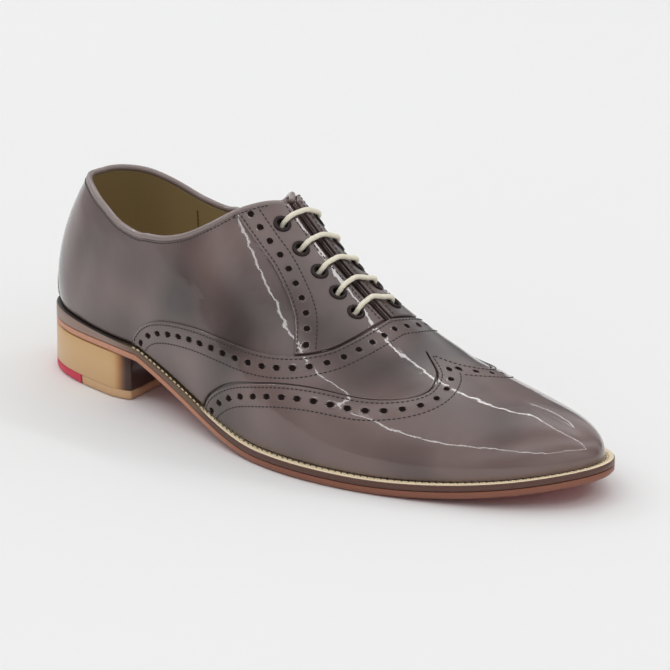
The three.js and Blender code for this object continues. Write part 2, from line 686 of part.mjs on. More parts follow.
/** Round tube on a row of { centre, across, up } frames. */
function tube(frames, width, sides) {
  const body = new Facets();
  const rings = frames.map(({ centre, across, up }) => Array.from({ length: sides }, (_, k) => {
    const angle = 2 * Math.PI * k / sides;
    return body.add(centre.clone()
      .addScaledVector(across, width / 2 * Math.cos(angle))
      .addScaledVector(up, width / 2 * Math.sin(angle)));
  }));
  for (let i = 1; i < rings.length; i++) {
    for (let k = 0; k < sides; k++) {
      const next = (k + 1) % sides;
      body.quad(rings[i - 1][k], rings[i - 1][next], rings[i][next], rings[i][k]);
    }
  }
  for (const [ring, flip] of [[rings[0], true], [rings[rings.length - 1], false]]) {
    for (let k = 1; k < sides - 1; k++) {
      if (flip) body.face(ring[0], ring[k + 1], ring[k]);
      else body.face(ring[0], ring[k], ring[k + 1]);
    }
  }
  return body.geometry();
}

const BEAD_STEPS = 24;
const BEAD_END = 0.975;         // the bead stops short of the throat's corners
const beadFrames = [];
for (let i = -BEAD_STEPS; i <= BEAD_STEPS; i++) {
  const place = (k) => topline(Math.abs(k) / BEAD_STEPS * BEAD_END, k < 0 ? -1 : 1);
  const [along, around] = place(i);
  const across = skinNormal(along, around);
  const ahead = skinPoint(...place(Math.min(i + 0.5, BEAD_STEPS)), 0);
  const behind = skinPoint(...place(Math.max(i - 0.5, -BEAD_STEPS)), 0);
  const up = ahead.sub(behind).cross(across).normalize();
  const centre = skinPoint(along, around, (WALL_IN + WALL_OUT) / 2);
  beadFrames.push({ centre: centre.addScaledVector(up, BEAD_WIDTH / 2 + OVERLAY_GAP), across, up });
}
addPiece('topline_bead', tube(beadFrames, BEAD_WIDTH, 6), 'edging');

const TONGUE_OUT = WALL_IN - 2 * GAP;
const TIP_NARROWING = 0.25;
const tongueSheet = new Sheet().addGrid(12, 8, (s, t) => {
  const narrow = 1 - TIP_NARROWING * (1 - s) ** 4;
  return [THREE.MathUtils.lerp(TONGUE_TOP, TONGUE_END, s), aroundRow(t) * TONGUE_HALF * narrow];
});
addPiece('tongue', tongueSheet.thicken(TONGUE_OUT - TONGUE_THICKNESS, TONGUE_OUT), 'patent');

// Eyelets and the lace's five bars

const FLANGE_HEIGHT = 0.9;
const FLANGE_SLOPE = 0.8;
const flangeProfile = [
  [EYELET_BORE / 2, -EYELET_HEIGHT],
  [TUBE_OUT, -EYELET_HEIGHT],
  [TUBE_OUT, GAP],
  [EYELET_WIDTH / 2, GAP],
  [EYELET_WIDTH / 2 - FLANGE_SLOPE, GAP + FLANGE_HEIGHT],
  [EYELET_BORE / 2, GAP + FLANGE_HEIGHT],
  [EYELET_BORE / 2, -EYELET_HEIGHT],
].map(([radius, height]) => new THREE.Vector2(radius, height));

for (const { pair, side, turn, seat } of eyelets) {
  const ring = new THREE.LatheGeometry(flangeProfile, EYELET_SIDES);
  const mesh = addPiece(`eyelet_${side < 0 ? 'outer' : 'inner'}_${pair + 1}`, ring, 'eyelet');
  mesh.quaternion.copy(turn);
  mesh.position.copy(seat);
}

const BAR_STEPS = 10;
const BAR_LIFT = FLANGE_HEIGHT + LACE_WIDTH / 2 + 3.5 * GAP;
const BAR_SAG = 1;              // a bar settles between the facings once it is past the flanges
for (let pair = 0; pair < EYELET_PAIRS; pair++) {
  const [outer, inner] = [eyelets[2 * pair], eyelets[2 * pair + 1]];
  const centre = (share) => {
    const around = THREE.MathUtils.lerp(outer.around, inner.around, share);
    const run = Math.min(share, 1 - share) * EYELET_ROWS;
    const lift = BAR_LIFT * THREE.MathUtils.smoothstep(run, -1, 1.6);
    const sag = BAR_SAG * THREE.MathUtils.smoothstep(run, EYELET_WIDTH / 2, EYELET_WIDTH + 1);
    return skinPoint(outer.along, around, LAYER_OUT + lift - sag);
  };
  const frames = [];
  for (let i = 0; i <= BAR_STEPS; i++) {
    const share = (1 - Math.cos(Math.PI * i / BAR_STEPS)) / 2;
    const run = centre(Math.min(1, share + 0.01)).sub(centre(Math.max(0, share - 0.01))).normalize();
    const across = outer.axis.clone().add(inner.axis).cross(run).normalize();
    frames.push({ centre: centre(share), across, up: run.clone().cross(across) });
  }
  addPiece(`lace_bar_${pair + 1}`, tube(frames, LACE_WIDTH, 8), 'lace');
}

// The origin lies on the floor under the middle of the shoe's box

const group = new THREE.Group();
group.add(...pieces);
outsole.geometry.computeBoundingBox();
const middle = outsole.geometry.boundingBox.getCenter(new THREE.Vector3());
group.position.set(-middle.x, -middle.y, 0);

export default group;
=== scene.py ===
"""Full brogue, right shoe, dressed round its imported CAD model.

The shape functions work in millimetres of the last, with x from the back of the heel, y towards
the inner side of the foot and z up from the floor; to_frame() moves them into the frame.
"""

import math

import bpy
import numpy as np
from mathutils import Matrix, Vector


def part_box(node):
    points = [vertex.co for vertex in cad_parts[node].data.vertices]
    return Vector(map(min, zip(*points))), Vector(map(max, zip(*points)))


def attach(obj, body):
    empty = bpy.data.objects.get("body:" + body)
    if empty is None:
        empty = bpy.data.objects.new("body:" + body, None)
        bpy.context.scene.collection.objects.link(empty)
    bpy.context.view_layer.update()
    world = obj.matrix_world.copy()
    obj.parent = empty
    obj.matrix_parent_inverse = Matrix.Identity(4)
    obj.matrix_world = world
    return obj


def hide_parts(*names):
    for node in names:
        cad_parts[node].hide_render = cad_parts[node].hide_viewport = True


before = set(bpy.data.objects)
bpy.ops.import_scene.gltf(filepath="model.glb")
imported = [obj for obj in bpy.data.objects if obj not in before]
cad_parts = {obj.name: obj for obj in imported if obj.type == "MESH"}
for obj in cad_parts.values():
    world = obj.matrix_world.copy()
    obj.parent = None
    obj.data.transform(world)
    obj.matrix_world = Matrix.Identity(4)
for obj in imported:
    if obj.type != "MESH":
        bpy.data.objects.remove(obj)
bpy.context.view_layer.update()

# Insole: vegetable-tanned leather, cut to the bottom of the last that the whole shoe is built
# on. The last's sections, its sole edge and the heights of the bottom are worked out here.

LAST_LENGTH = 288
BALL_WIDTH = 92
INSTEP_HEIGHT = 92
HEEL_HEIGHT = 20.8
HEEL_LENGTH = 65
TREAD_START = 160
TREAD_END = 205
SHANK_SLOPE = -0.25
TOE_SPRING = 9.7
OUTSOLE_THICKNESS = 3
WELT_THICKNESS = 2.7
RAND_THICKNESS = 5.7
BREAST_RAND = 2.3
GAP = 0.3
WELT_AT_TOE = 5
WELT_AT_BALL = 4.5
WELT_AT_WAIST = 2.2
WELT_AT_HEEL = 1.2
CAD_STEPS = 38
LEVEL_END = HEEL_LENGTH + LAST_LENGTH / CAD_STEPS

# shares: along the last's length; outer, inner, ridge and bulge of the ball width; top of the
# instep height; rise and crown of the section's own height and width
SECTION_NAMES = ("along", "outer", "inner", "top", "ridge", "bulge", "rise", "crown")
SECTIONS = np.array([
    (-0.004, 0.000, 0.000, 0.826, 0.005, 0.076, 0.300, 0.600),
    (0.010, 0.171, 0.184, 0.848, 0.006, 0.072, 0.300, 0.600),
    (0.065, 0.302, 0.315, 0.908, 0.007, 0.061, 0.330, 0.660),
    (0.160, 0.350, 0.337, 1.003, 0.008, 0.046, 0.409, 0.720),
    (0.270, 0.384, 0.314, 1.096, 0.010, 0.052, 0.483, 0.666),
    (0.380, 0.441, 0.284, 1.026, 0.021, 0.067, 0.516, 0.599),
    (0.490, 0.515, 0.309, 0.866, 0.028, 0.058, 0.505, 0.588),
    (0.600, 0.556, 0.412, 0.669, 0.029, 0.037, 0.485, 0.606),
    (0.700, 0.516, 0.506, 0.503, 0.034, 0.030, 0.458, 0.638),
    (0.790, 0.424, 0.514, 0.390, 0.051, 0.027, 0.469, 0.669),
    (0.870, 0.311, 0.454, 0.311, 0.069, 0.024, 0.500, 0.700),
    (0.940, 0.182, 0.354, 0.251, 0.078, 0.021, 0.532, 0.713),
    (0.990, 0.010, 0.229, 0.206, 0.086, 0.014, 0.549, 0.711),
    (1.006, -0.107, 0.107, 0.183, 0.088, 0.014, 0.551, 0.712),
])
LAST_ROW = len(SECTIONS) - 1


def spline(along, handle):
    """Uniform cubic B-spline: handle(row) weighted over the four rows round each place."""
    place = np.asarray(along, float) * LAST_ROW
    row = np.clip(np.floor(place), 0, LAST_ROW - 1).astype(int)
    f = place - row
    weights = ((1 - f) ** 3, 3 * f ** 3 - 6 * f ** 2 + 4, -3 * f ** 3 + 3 * f ** 2 + 3 * f + 1, f ** 3)
    return sum(weight * handle(row + k - 1) for k, weight in enumerate(weights)) / 6


def mirrored(row):
    """Row numbers folded back at both ends of the table."""
    return LAST_ROW - np.abs(LAST_ROW - np.abs(row))


def section(name, along):
    """One column of the last's sections at a share of its length."""
    column = SECTION_NAMES.index(name)
    return spline(along, lambda row: SECTIONS[mirrored(row), column])


def wrapped(along, side):
    """Past the heel or the toe the one side of the foot leads on to the other."""
    along, side = np.broadcast_arrays(np.asarray(along, float), side)
    beyond = (along < 0) | (along > 1)
    return np.where(along < 0, -along, np.where(along > 1, 2 - along, along)), np.where(beyond, -side, side)


def sole_plan(along, side):
    """(x, y) of the upper's sole edge; side is -1 on the outer side of the foot and 1 on the inner."""
    along, side = wrapped(along, side)

    def handle(row):
        across = np.where((row < 0) | (row > LAST_ROW), -side, side)
        rows = mirrored(row)
        return np.where(across < 0, -SECTIONS[rows, 1], SECTIONS[rows, 2])
    return section("along", along) * LAST_LENGTH, spline(along, handle) * BALL_WIDTH


def sole_outline(along, side, reach):
    """The sole edge moved outwards in plan by reach, square to its own run."""
    along, side = np.broadcast_arrays(np.asarray(along, float), side)
    x, y = sole_plan(along, side)
    x0, y0 = sole_plan(along - 0.002, side)
    x1, y1 = sole_plan(along + 0.002, side)
    run = np.hypot(x1 - x0, y1 - y0)
    return x - side * (y1 - y0) / run * reach, y + side * (x1 - x0) / run * reach


def eased(x, stops):
    """Value at x, eased in and out from stop to stop of (x, value)."""
    x = np.asarray(x, float)
    value = np.full(x.shape, float(stops[0][1]))
    for (x0, low), (x1, high) in zip(stops, stops[1:]):
        t = np.clip((x - x0) / (x1 - x0), 0, 1)
        value += (high - low) * t * t * (3 - 2 * t)
    return value


def welt_reach(along):
    """How far the welt stands out of the upper."""
    return eased(along, [(0.2, WELT_AT_HEEL), (0.36, WELT_AT_WAIST), (0.55, WELT_AT_BALL),
                         (0.95, WELT_AT_TOE)])


def underside(x):
    """Height of the outsole's underside: level at the heel, falling shank, flat tread, toe spring."""
    run = TREAD_START - LEVEL_END
    t = np.clip((np.asarray(x, float) - LEVEL_END) / run, 0, 1)
    shank = HEEL_HEIGHT * (2 * t ** 3 - 3 * t ** 2 + 1) + SHANK_SLOPE * run * (t ** 3 - 2 * t ** 2 + t)
    spring = TOE_SPRING * (np.maximum(x - TREAD_END, 0) / (LAST_LENGTH - TREAD_END)) ** 2
    return np.where(x < TREAD_START, shank, spring)


def welt_thickness(x):
    """Thickness of the welt, built up as a wedge under the heel seat."""
    return eased(x, [(0, RAND_THICKNESS), (HEEL_LENGTH, BREAST_RAND), (TREAD_START * 0.7, WELT_THICKNESS)])


def welt_underside(x):
    """Height of the seam between outsole and welt."""
    return underside(x) + OUTSOLE_THICKNESS + GAP


def welt_top(x):
    """Height of the welt's upper face."""
    return welt_underside(x) + welt_thickness(x)


def seat(x):
    """Height at which the upper meets the welt."""
    return welt_top(x) + GAP


def principled(name, colour, roughness, **sockets):
    """A plain material: its Principled shader, with the sockets named set to their values."""
    material = bpy.data.materials.new(name)
    material.use_nodes = True
    shader = material.node_tree.nodes["Principled BSDF"]
    shader.inputs["Base Color"].default_value = (*colour, 1)
    shader.inputs["Roughness"].default_value = roughness
    for socket, value in sockets.items():
        shader.inputs[socket.replace("_", " ")].default_value = value
    return material


def srgb(red, green, blue):
    """Linear colour of an 8-bit screen colour."""
    shares = np.array([red, green, blue]) / 255
    return tuple(np.where(shares <= 0.04045, shares / 12.92, ((shares + 0.055) / 1.055) ** 2.4))


def link(material, source, target):
    """Joins an output socket to an input socket."""
    material.node_tree.links.new(source, target)


def node(material, kind, **values):
    """A shader node, its settings and sockets given by name: a value is set, an output joined."""
    made = material.node_tree.nodes.new(kind)
    for name, value in values.items():
        if hasattr(made, name):
            setattr(made, name, value)
        elif isinstance(value, bpy.types.NodeSocket):
            link(material, value, made.inputs[name])
        else:
            made.inputs[name.replace("_", " ")].default_value = value
    return made


def grained(material, *layers):
    """Adds noise bumps on Object coordinates, each over the last: (scale per metre, depth in metres)."""
    shader = material.node_tree.nodes["Principled BSDF"]
    place = node(material, "ShaderNodeTexCoord").outputs["Object"]
    below = {}
    for scale, depth in layers:
        noise = node(material, "ShaderNodeTexNoise", Scale=scale, Detail=3, Vector=place)
        bump = node(material, "ShaderNodeBump", Distance=depth, Height=noise.outputs["Fac"], **below)
        below = {"Normal": bump.outputs["Normal"]}
    for socket in ("Normal", "Coat Normal"):
        link(material, below["Normal"], shader.inputs[socket])


cad_along = np.tile(np.arange(CAD_STEPS + 1) / CAD_STEPS, 2)
cad_side = np.repeat([-1, 1], CAD_STEPS + 1)
cad_x, cad_y = sole_outline(cad_along, cad_side, welt_reach(cad_along))
low_corner = np.array(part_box("outsole")[0]) * 1000
FRAME_SHIFT = np.array([low_corner[0] - cad_x.min(), low_corner[1] - cad_y.min(), 0])

lining_leather = principled("lining leather", srgb(168, 146, 104), 0.6, Specular_IOR_Level=0.35)
grained(lining_leather, (900, 0.00012))
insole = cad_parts["insole"]
insole.data.materials.clear()
insole.data.materials.append(lining_leather)

# Upper: patent calf over a sewn-in lining, one wall pulled over the last and open at collar,
# throat and underneath. Ten eyelet holes are punched through both leathers.

RIDGE_START = 0.103
RIDGE_END = 0.883
OVERLAY = 1
UPPER_WALL = 2
OVERLAY_GAP = 0.45
CAP_OVERLAY = 1.5
THROAT_WIDTH = 4
THROAT_TOP = 0.43
THROAT_END = 0.605
EYELET_ROWS = 25
EYELET_BORE = 4.4
EYELET_WIDTH = 8
TUBE_WALL = 0.5
EYELET_HOLE = EYELET_BORE / 2 + TUBE_WALL + GAP
EYELET_PAIRS = 5
EYELET_FIRST = 0.443
EYELET_LAST = 0.566
WALL_OUT = -OVERLAY
WALL_IN = WALL_OUT - UPPER_WALL
LAYER_IN = WALL_OUT + OVERLAY_GAP
LAYER_OUT = LAYER_IN + OVERLAY
CAP_OUT = LAYER_IN + CAP_OVERLAY
LAYER_FOOT = LAYER_IN - 0.4     # the panels' underside, close on the wall
LINING = 0.8
LINING_GAP = 0.02
COLLAR_COLUMNS = 110
THROAT_COLUMNS = 55
TOE_COLUMNS = 65
WALL_ROWS = 66
TOE_CROWDING = 1.3

# (foot, along, outer height, inner height) from the centre back to the throat's top corner
TOPLINE = np.array([
    (0.000, 0.000, 0.330, 0.330),
    (0.050, 0.050, 0.346, 0.346),
    (0.100, 0.100, 0.380, 0.380),
    (0.150, 0.150, 0.433, 0.433),
    (0.200, 0.200, 0.515, 0.517),
    (0.250, 0.250, 0.600, 0.605),
    (0.295, 0.300, 0.638, 0.645),
    (0.335, 0.345, 0.575, 0.580),
    (0.365, 0.380, 0.445, 0.450),
    (0.395, 0.408, 0.250, 0.255),
    (0.425, 0.430, 0.037, 0.037),
])


def ridge_point(along):
    """Line over the instep and toe from which both sides of the last fall away."""
    share = section("along", along)
    x = (RIDGE_START + share * (RIDGE_END - RIDGE_START)) * LAST_LENGTH
    height = seat(share * LAST_LENGTH) + section("top", along) * INSTEP_HEIGHT
    return np.stack([x, section("ridge", along) * BALL_WIDTH, height], axis=-1)


def matched(along, around):
    """Both shares as float arrays of one shape."""
    return np.broadcast_arrays(np.asarray(along, float), np.asarray(around, float))


def last_point(along, around):
    """Skin of the shoe: at each share along, a cubic Bezier from the ridge over a roof handle and
    a wall handle down to the sole edge; around is 0 on the ridge and -1 or 1 at the sole edge."""
    along, around = matched(along, around)
    share, side = wrapped(along, np.where(around < 0, -1, 1))
    down = np.abs(around)[..., None]
    x, y = sole_plan(share, side)
    foot = np.stack([x, y, seat(x)], axis=-1)
    ridge = ridge_point(share)
    slope = np.clip(share + 0.01, 0.02, 1), np.clip(share - 0.01, 0, 0.98)
    rise = ridge_point(slope[0]) - ridge_point(slope[1])
    slope = rise[..., 2] / rise[..., 0]
    swell = sole_outline(share, side, section("bulge", share) * BALL_WIDTH)
    wall = np.stack([*swell, foot[..., 2] + section("rise", share) * (ridge - foot)[..., 2]], axis=-1)
    crown = section("crown", share)
    reach = crown * (foot - ridge)[..., 0]
    roof = np.stack([ridge[..., 0] + reach, ridge[..., 1] + crown * (foot - ridge)[..., 1],
                     ridge[..., 2] + slope * reach], axis=-1)
    up = 1 - down
    return up ** 3 * ridge + 3 * down * up ** 2 * roof + 3 * down ** 2 * up * wall + down ** 3 * foot


def unit(vectors):
    """Vectors at length 1."""
    return vectors / np.linalg.norm(vectors, axis=-1, keepdims=True)


def skin_normal(along, around):
    """Outward normal of the skin, by differences."""
    step = 0.004
    along, around = matched(along, around)
    a = np.where(np.abs(around) < 0.08, np.clip(along, 0.03, 0.97), along)
    v = np.clip(around, step - 1, 1 - step)
    lengthwise = last_point(a + step, v) - last_point(a - step, v)
    across = last_point(a, v + step) - last_point(a, v - step)
    return unit(np.cross(lengthwise, across))


# soft creases: (along, around, degrees from lengthwise, half length, half width, depth in mm)
CREASES = np.array([
    (0.19, -0.78, 80, 24, 8, 0.35), (0.30, -0.80, 70, 26, 9, 0.45), (0.41, -0.66, 40, 24, 8, 0.40),
    (0.57, -0.62, 30, 22, 7, 0.35), (0.66, -0.42, 55, 18, 6, 0.30), (0.20, 0.78, -80, 24, 8, 0.35),
    (0.31, 0.80, -70, 26, 9, 0.45), (0.43, 0.64, -40, 24, 8, 0.40), (0.66, 0.36, -55, 18, 6, 0.30),
])
GIRTH = 105


def creased(along, around):
    """Height of the creases: each a trough with a raised shoulder on both sides, fading outwards."""
    height = np.zeros(np.shape(along))
    for a, v, turn, half_length, half_width, depth in CREASES:
        x, y = (along - a) * LAST_LENGTH, (around - v) * GIRTH
        cos, sin = math.cos(math.radians(turn)), math.sin(math.radians(turn))
        across, down = (y * cos - x * sin) / half_width, (x * cos + y * sin) / half_length
        height += depth * (1.3 * across ** 2 - 1) * np.exp(-across ** 2 - down ** 2)
    return height


def skin_point(along, around, height):
    """Place at a height over the creased skin, in mm."""
    along, around = matched(along, around)
    lift = np.asarray(height, float) + creased(along, around)
    return last_point(along, around) + skin_normal(along, around) * lift[..., None]


def through(table, column, share):
    """Smooth curve through a table's rows: Catmull-Rom, at share 0 to 1 of its length."""
    place = np.clip(np.asarray(share, float), 0, 1) * (len(table) - 1)
    row = np.minimum(np.floor(place), len(table) - 2).astype(int)
    f = place - row
    p0, p1, p2, p3 = (table[np.clip(row + k, 0, len(table) - 1), column] for k in (-1, 0, 1, 2))
    return p1 + 0.5 * f * (p2 - p0 + f * (2 * p0 - 5 * p1 + 4 * p2 - p3 + f * (3 * (p1 - p2) + p3 - p0)))


def look_up(table, key, column, wanted):
    """Reads a table's curve the other way: its column where its key takes the value wanted."""
    share = np.linspace(0, 1, 2001)
    keys, values = through(table, key, share), through(table, column, share)
    order = np.argsort(keys)
    return np.interp(wanted, keys[order], values[order])


def around_at_arc(along, arc, side):
    """Share around the wall that lies an arc, in mm, from the ridge."""
    along, side = np.broadcast_arrays(np.asarray(along, float), side)
    shares = np.linspace(0, 1, 81)
    points = last_point(along[..., None], side[..., None] * shares)
    steps = np.linalg.norm(np.diff(points, axis=-2), axis=-1)
    length = np.concatenate([np.zeros(along.shape + (1,)), np.cumsum(steps, axis=-1)], axis=-1)
    found = [np.interp(arc, row, shares) for row in length.reshape(-1, len(shares))]
    return side * np.reshape(found, along.shape)


def grid(columns, rows):
    """Shares s and t over a grid, flattened, and its quads as four corner numbers each."""
    s, t = np.meshgrid(np.linspace(0, 1, columns + 1), np.linspace(0, 1, rows + 1), indexing="ij")
    corner = (np.arange(columns)[:, None] * (rows + 1) + np.arange(rows)).ravel()
    quads = np.stack([corner, corner + rows + 1, corner + rows + 2, corner + 1], axis=1)
    return s.ravel(), t.ravel(), quads


def welded(points, quads):
    """Corner numbers with places in one spot made one: (kept places, quads)."""
    _, kept, which = np.unique(np.round(points, 3), axis=0, return_index=True, return_inverse=True)
    quads = which.ravel()[quads]
    corners = np.array([len(set(quad)) for quad in quads.tolist()]) if len(quads) else np.zeros(0)
    return kept, quads[corners > 2]


def rim_edges(quads):
    """Edges with a face on one side only, as (from, to) in the direction of that face."""
    start, end = quads.ravel(), np.roll(quads, -1, axis=1).ravel()
    real = start != end
    start, end = start[real], end[real]
    count = quads.max() + 1
    open_side = ~np.isin(start.astype(np.int64) * count + end, end.astype(np.int64) * count + start)
    return start[open_side], end[open_side]


def to_frame(points):
    """Places from millimetres of the last to metres of the frame."""
    return (points + FRAME_SHIFT) / 1000


def add_mesh(name, points, faces, materials, face_materials=None, attributes=None):
    """A smooth-shaded object from places in mm and an (m, 4) array of corners; a quad with two
    like corners is a triangle. attributes are extra numbers per place."""
    same = faces == np.roll(faces, -1, axis=1)
    sizes = 4 - same.sum(axis=1)
    loops = faces[~same]
    mesh = bpy.data.meshes.new(name)
    mesh.vertices.add(len(points))
    mesh.vertices.foreach_set("co", to_frame(points).ravel())
    mesh.loops.add(len(loops))
    mesh.loops.foreach_set("vertex_index", loops.astype(np.int32))
    mesh.polygons.add(len(sizes))
    mesh.polygons.foreach_set("loop_start", (np.cumsum(sizes) - sizes).astype(np.int32))
    for material in materials:
        mesh.materials.append(material)
    if face_materials is not None:
        mesh.polygons.foreach_set("material_index", face_materials.astype(np.int32))
    for title, values in (attributes or {}).items():
        mesh.attributes.new(title, "FLOAT", "POINT").data.foreach_set("value", values.astype(np.float32))
    mesh.update(calc_edges=True)
    mesh.validate()
    mesh.shade_smooth()
    piece = bpy.data.objects.new(name, mesh)
    bpy.context.scene.collection.objects.link(piece)
    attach(piece, "root")
    return piece


def leather(name, along, around, quads, low, high, material, edge=0.35, wells=None, rim=None):
    """A sheet of leather on the skin: the grid raised to its high and low faces and closed by a
    rim, whose outer corner is rounded off by edge. wells are depths, in mm, below the high face;
    the faces down in a well are coloured dark, as painted shade inside the hole together with the
    darker underlay seen through it."""
    kept, quads = welded(last_point(along, around), quads)
    along, around = along[kept], around[kept]
    depth = np.zeros(len(kept)) if wells is None else wells[kept]
    start, end = rim_edges(quads)
    top = high - depth
    top[np.unique(start)] -= edge
    points = np.concatenate([skin_point(along, around, face) for face in (top, np.full(len(kept), low))])
    count = len(kept)
    faces = np.concatenate([quads, quads[:, ::-1] + count,
                            np.stack([end, start, start + count, end + count], axis=1)])
    # faces down in a hole take the dark hole colour: painted shade, with the darker underlay
    sunk = (depth > 0.5)[quads].any(axis=1)
    finishes = [material] + ([punched_hole_shade] if sunk.any() else []) + ([rim] if rim else [])
    look = np.concatenate([sunk, np.zeros(len(quads)), np.full(len(start), len(finishes) - 1 if rim else 0)])
    return add_mesh(name, points, faces, finishes, look)


def snapped(along, around, centres, radius, cell):
    """Moves places within half a cell of a hole's rim on to the rim, and gives each its distance
    from the nearest hole, in mm. Round each centre the skin is taken as flat."""
    along, around = along.copy(), around.copy()
    nearest = np.full(along.shape, 1e3)
    step = 0.002
    for a, v in centres:
        lengthwise = (last_point(a + step, v) - last_point(a - step, v)) / (2 * step)
        across = (last_point(a, v + step) - last_point(a, v - step)) / (2 * step)
        first = unit(lengthwise)
        second = unit(across - (across @ first) * first)
        to_plane = np.array([[lengthwise @ first, across @ first], [0, across @ second]])
        near = np.flatnonzero((np.abs(along - a) < 0.05) & (np.abs(around - v) < 0.25))
        flat = np.stack([along[near] - a, around[near] - v]).T @ to_plane.T
        distance = np.hypot(*flat.T)
        on_rim = (np.abs(distance - radius) < cell / 2) & (distance > 0)
        scale = np.where(on_rim, radius / np.maximum(distance, 1e-6), 1)
        moved = (flat * scale[:, None]) @ np.linalg.inv(to_plane).T
        along[near[on_rim]] = a + moved[on_rim, 0]
        around[near[on_rim]] = v + moved[on_rim, 1]
        nearest[near] = np.minimum(nearest[near], np.where(on_rim, radius, distance))
    return along, around, nearest


patent = principled("patent leather", srgb(104, 86, 83), 0.4, Coat_Weight=1, Coat_Roughness=0.03,
                    Coat_IOR=1.45)
grained(patent, (42, 0.0006), (1100, 0.000006))
place = node(patent, "ShaderNodeTexCoord").outputs["Object"]
tone = node(patent, "ShaderNodeTexNoise", Scale=24, Detail=1, Vector=place)
tint = node(patent, "ShaderNodeMapRange", From_Min=0.35, From_Max=0.65, Value=tone.outputs["Fac"])
shade = node(patent, "ShaderNodeMix", data_type="RGBA")
shade.inputs[6].default_value = (*srgb(58, 42, 40), 1)
shade.inputs[7].default_value = (*srgb(112, 91, 87), 1)
link(patent, tint.outputs["Result"], shade.inputs[0])
link(patent, shade.outputs[2], patent.node_tree.nodes["Principled BSDF"].inputs["Base Color"])
# dark floor and wall of the punched holes: painted shade inside each hole, along with the darker underlay it
# shows
punched_hole_shade = principled("punched hole shade", srgb(44, 35, 34), 0.9, Specular_IOR_Level=0.1)

pair_share = np.linspace(EYELET_FIRST, EYELET_LAST, EYELET_PAIRS)
eyelet_places = [(a, float(around_at_arc(a, EYELET_ROWS / 2, side))) for a in pair_share for side in (-1, 1)]


def wall_grid(side):
    """Places of one side of the wall: collar, throat and toe columns, from sole edge to top edge."""
    columns = COLLAR_COLUMNS + THROAT_COLUMNS + TOE_COLUMNS
    s, t, quads = grid(columns, WALL_ROWS)
    collar_end, throat_end = COLLAR_COLUMNS / columns, (COLLAR_COLUMNS + THROAT_COLUMNS) / columns
    in_collar, in_toe = s <= collar_end, s >= throat_end
    collar = s / collar_end
    throat = np.clip((s - collar_end) / (throat_end - collar_end), 0, 1)
    toe = 1 - (1 - np.clip((s - throat_end) / (1 - throat_end), 0, 1)) ** TOE_CROWDING
    column = 2 if side < 0 else 3
    throat_along = THROAT_TOP + (THROAT_END - THROAT_TOP) * throat
    edge = around_at_arc(throat_along[::WALL_ROWS + 1], THROAT_WIDTH / 2, 1).repeat(WALL_ROWS + 1)
    edge = np.where(throat == 0, TOPLINE[-1, column], edge)
    toe_along = THROAT_END + (1 - THROAT_END) * toe
    foot = np.where(in_collar, through(TOPLINE, 0, collar),
                    np.where(in_toe, toe_along, TOPLINE[-1, 0] + (THROAT_END - TOPLINE[-1, 0]) * throat))
    top = np.where(in_collar, through(TOPLINE, 1, collar), np.where(in_toe, toe_along, throat_along))
    height = np.where(in_collar, through(TOPLINE, column, collar), np.where(in_toe, 0, edge))
    return foot + (top - foot) * t, side * (1 + (height - 1) * t), quads[:, ::-side]


def without_holes(quads, nearest, radius):
    """Drops the quads that lie inside a hole."""
    return quads[~(nearest[quads] <= radius + 1e-6).all(axis=1)]


outer_wall, inner_wall = (wall_grid(side) for side in (-1, 1))
wall_along, wall_around = (np.concatenate(pair) for pair in zip(outer_wall[:2], inner_wall[:2]))
wall_quads = np.concatenate([outer_wall[2], inner_wall[2] + len(outer_wall[0])])
wall_along, wall_around, nearest = snapped(wall_along, wall_around, eyelet_places, EYELET_HOLE, cell=1.2)
wall_quads = without_holes(wall_quads, nearest, EYELET_HOLE)
upper = leather("upper", wall_along, wall_around, wall_quads, WALL_IN + LINING, WALL_OUT, patent)
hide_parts("upper")
lining = leather("lining", wall_along, wall_around, wall_quads, WALL_IN, WALL_IN + LINING - LINING_GAP,
                 lining_leather, edge=0, rim=patent)

# Welt and rand: one strip of leather stitched down all round in front of the heel, pale over the
# forefoot and dark behind it, and built up round the heel seat as a wedge. The dark round the heel
# is partly stain and partly painted shade of the gap between the upper and the sole.

OUTLINE_STEPS = 240
WELT_BREAK = 0.35         # the rounding of its upper edge
WELT_SEAM = 0.52          # of its reach
# row of the painted shade marks by the welt stitches, as a share of the welt's reach
WELT_SHADE_ROW = 0.3
WELT_PITCH = 3
WELT_SEAM_START = HEEL_LENGTH + 4

outline_step = np.arange(OUTLINE_STEPS)
loop_along = np.concatenate([outline_step, OUTLINE_STEPS - outline_step]) / OUTLINE_STEPS
loop_side = np.repeat([-1, 1], OUTLINE_STEPS)
welt_out = welt_reach(loop_along)


def outline_ring(reach, height, up=0):
    """One closed outline of the sole: moved out by reach, and up from height(x)."""
    x, y = sole_outline(loop_along, loop_side, reach)
    return np.stack([x, y, height(x) + up], axis=1)


def ring_quads(rings, steps, closed=False):
    """Quads between rings of `steps` places each, stacked upwards; closed joins last to first."""
    corner = np.arange(steps)
    after = (corner + 1) % steps
    bands = rings if closed else rings - 1
    return np.concatenate([
        np.stack([corner + k * steps, after + k * steps,
                  after + (k + 1) % rings * steps, corner + (k + 1) % rings * steps], axis=1)
        for k in range(bands)])


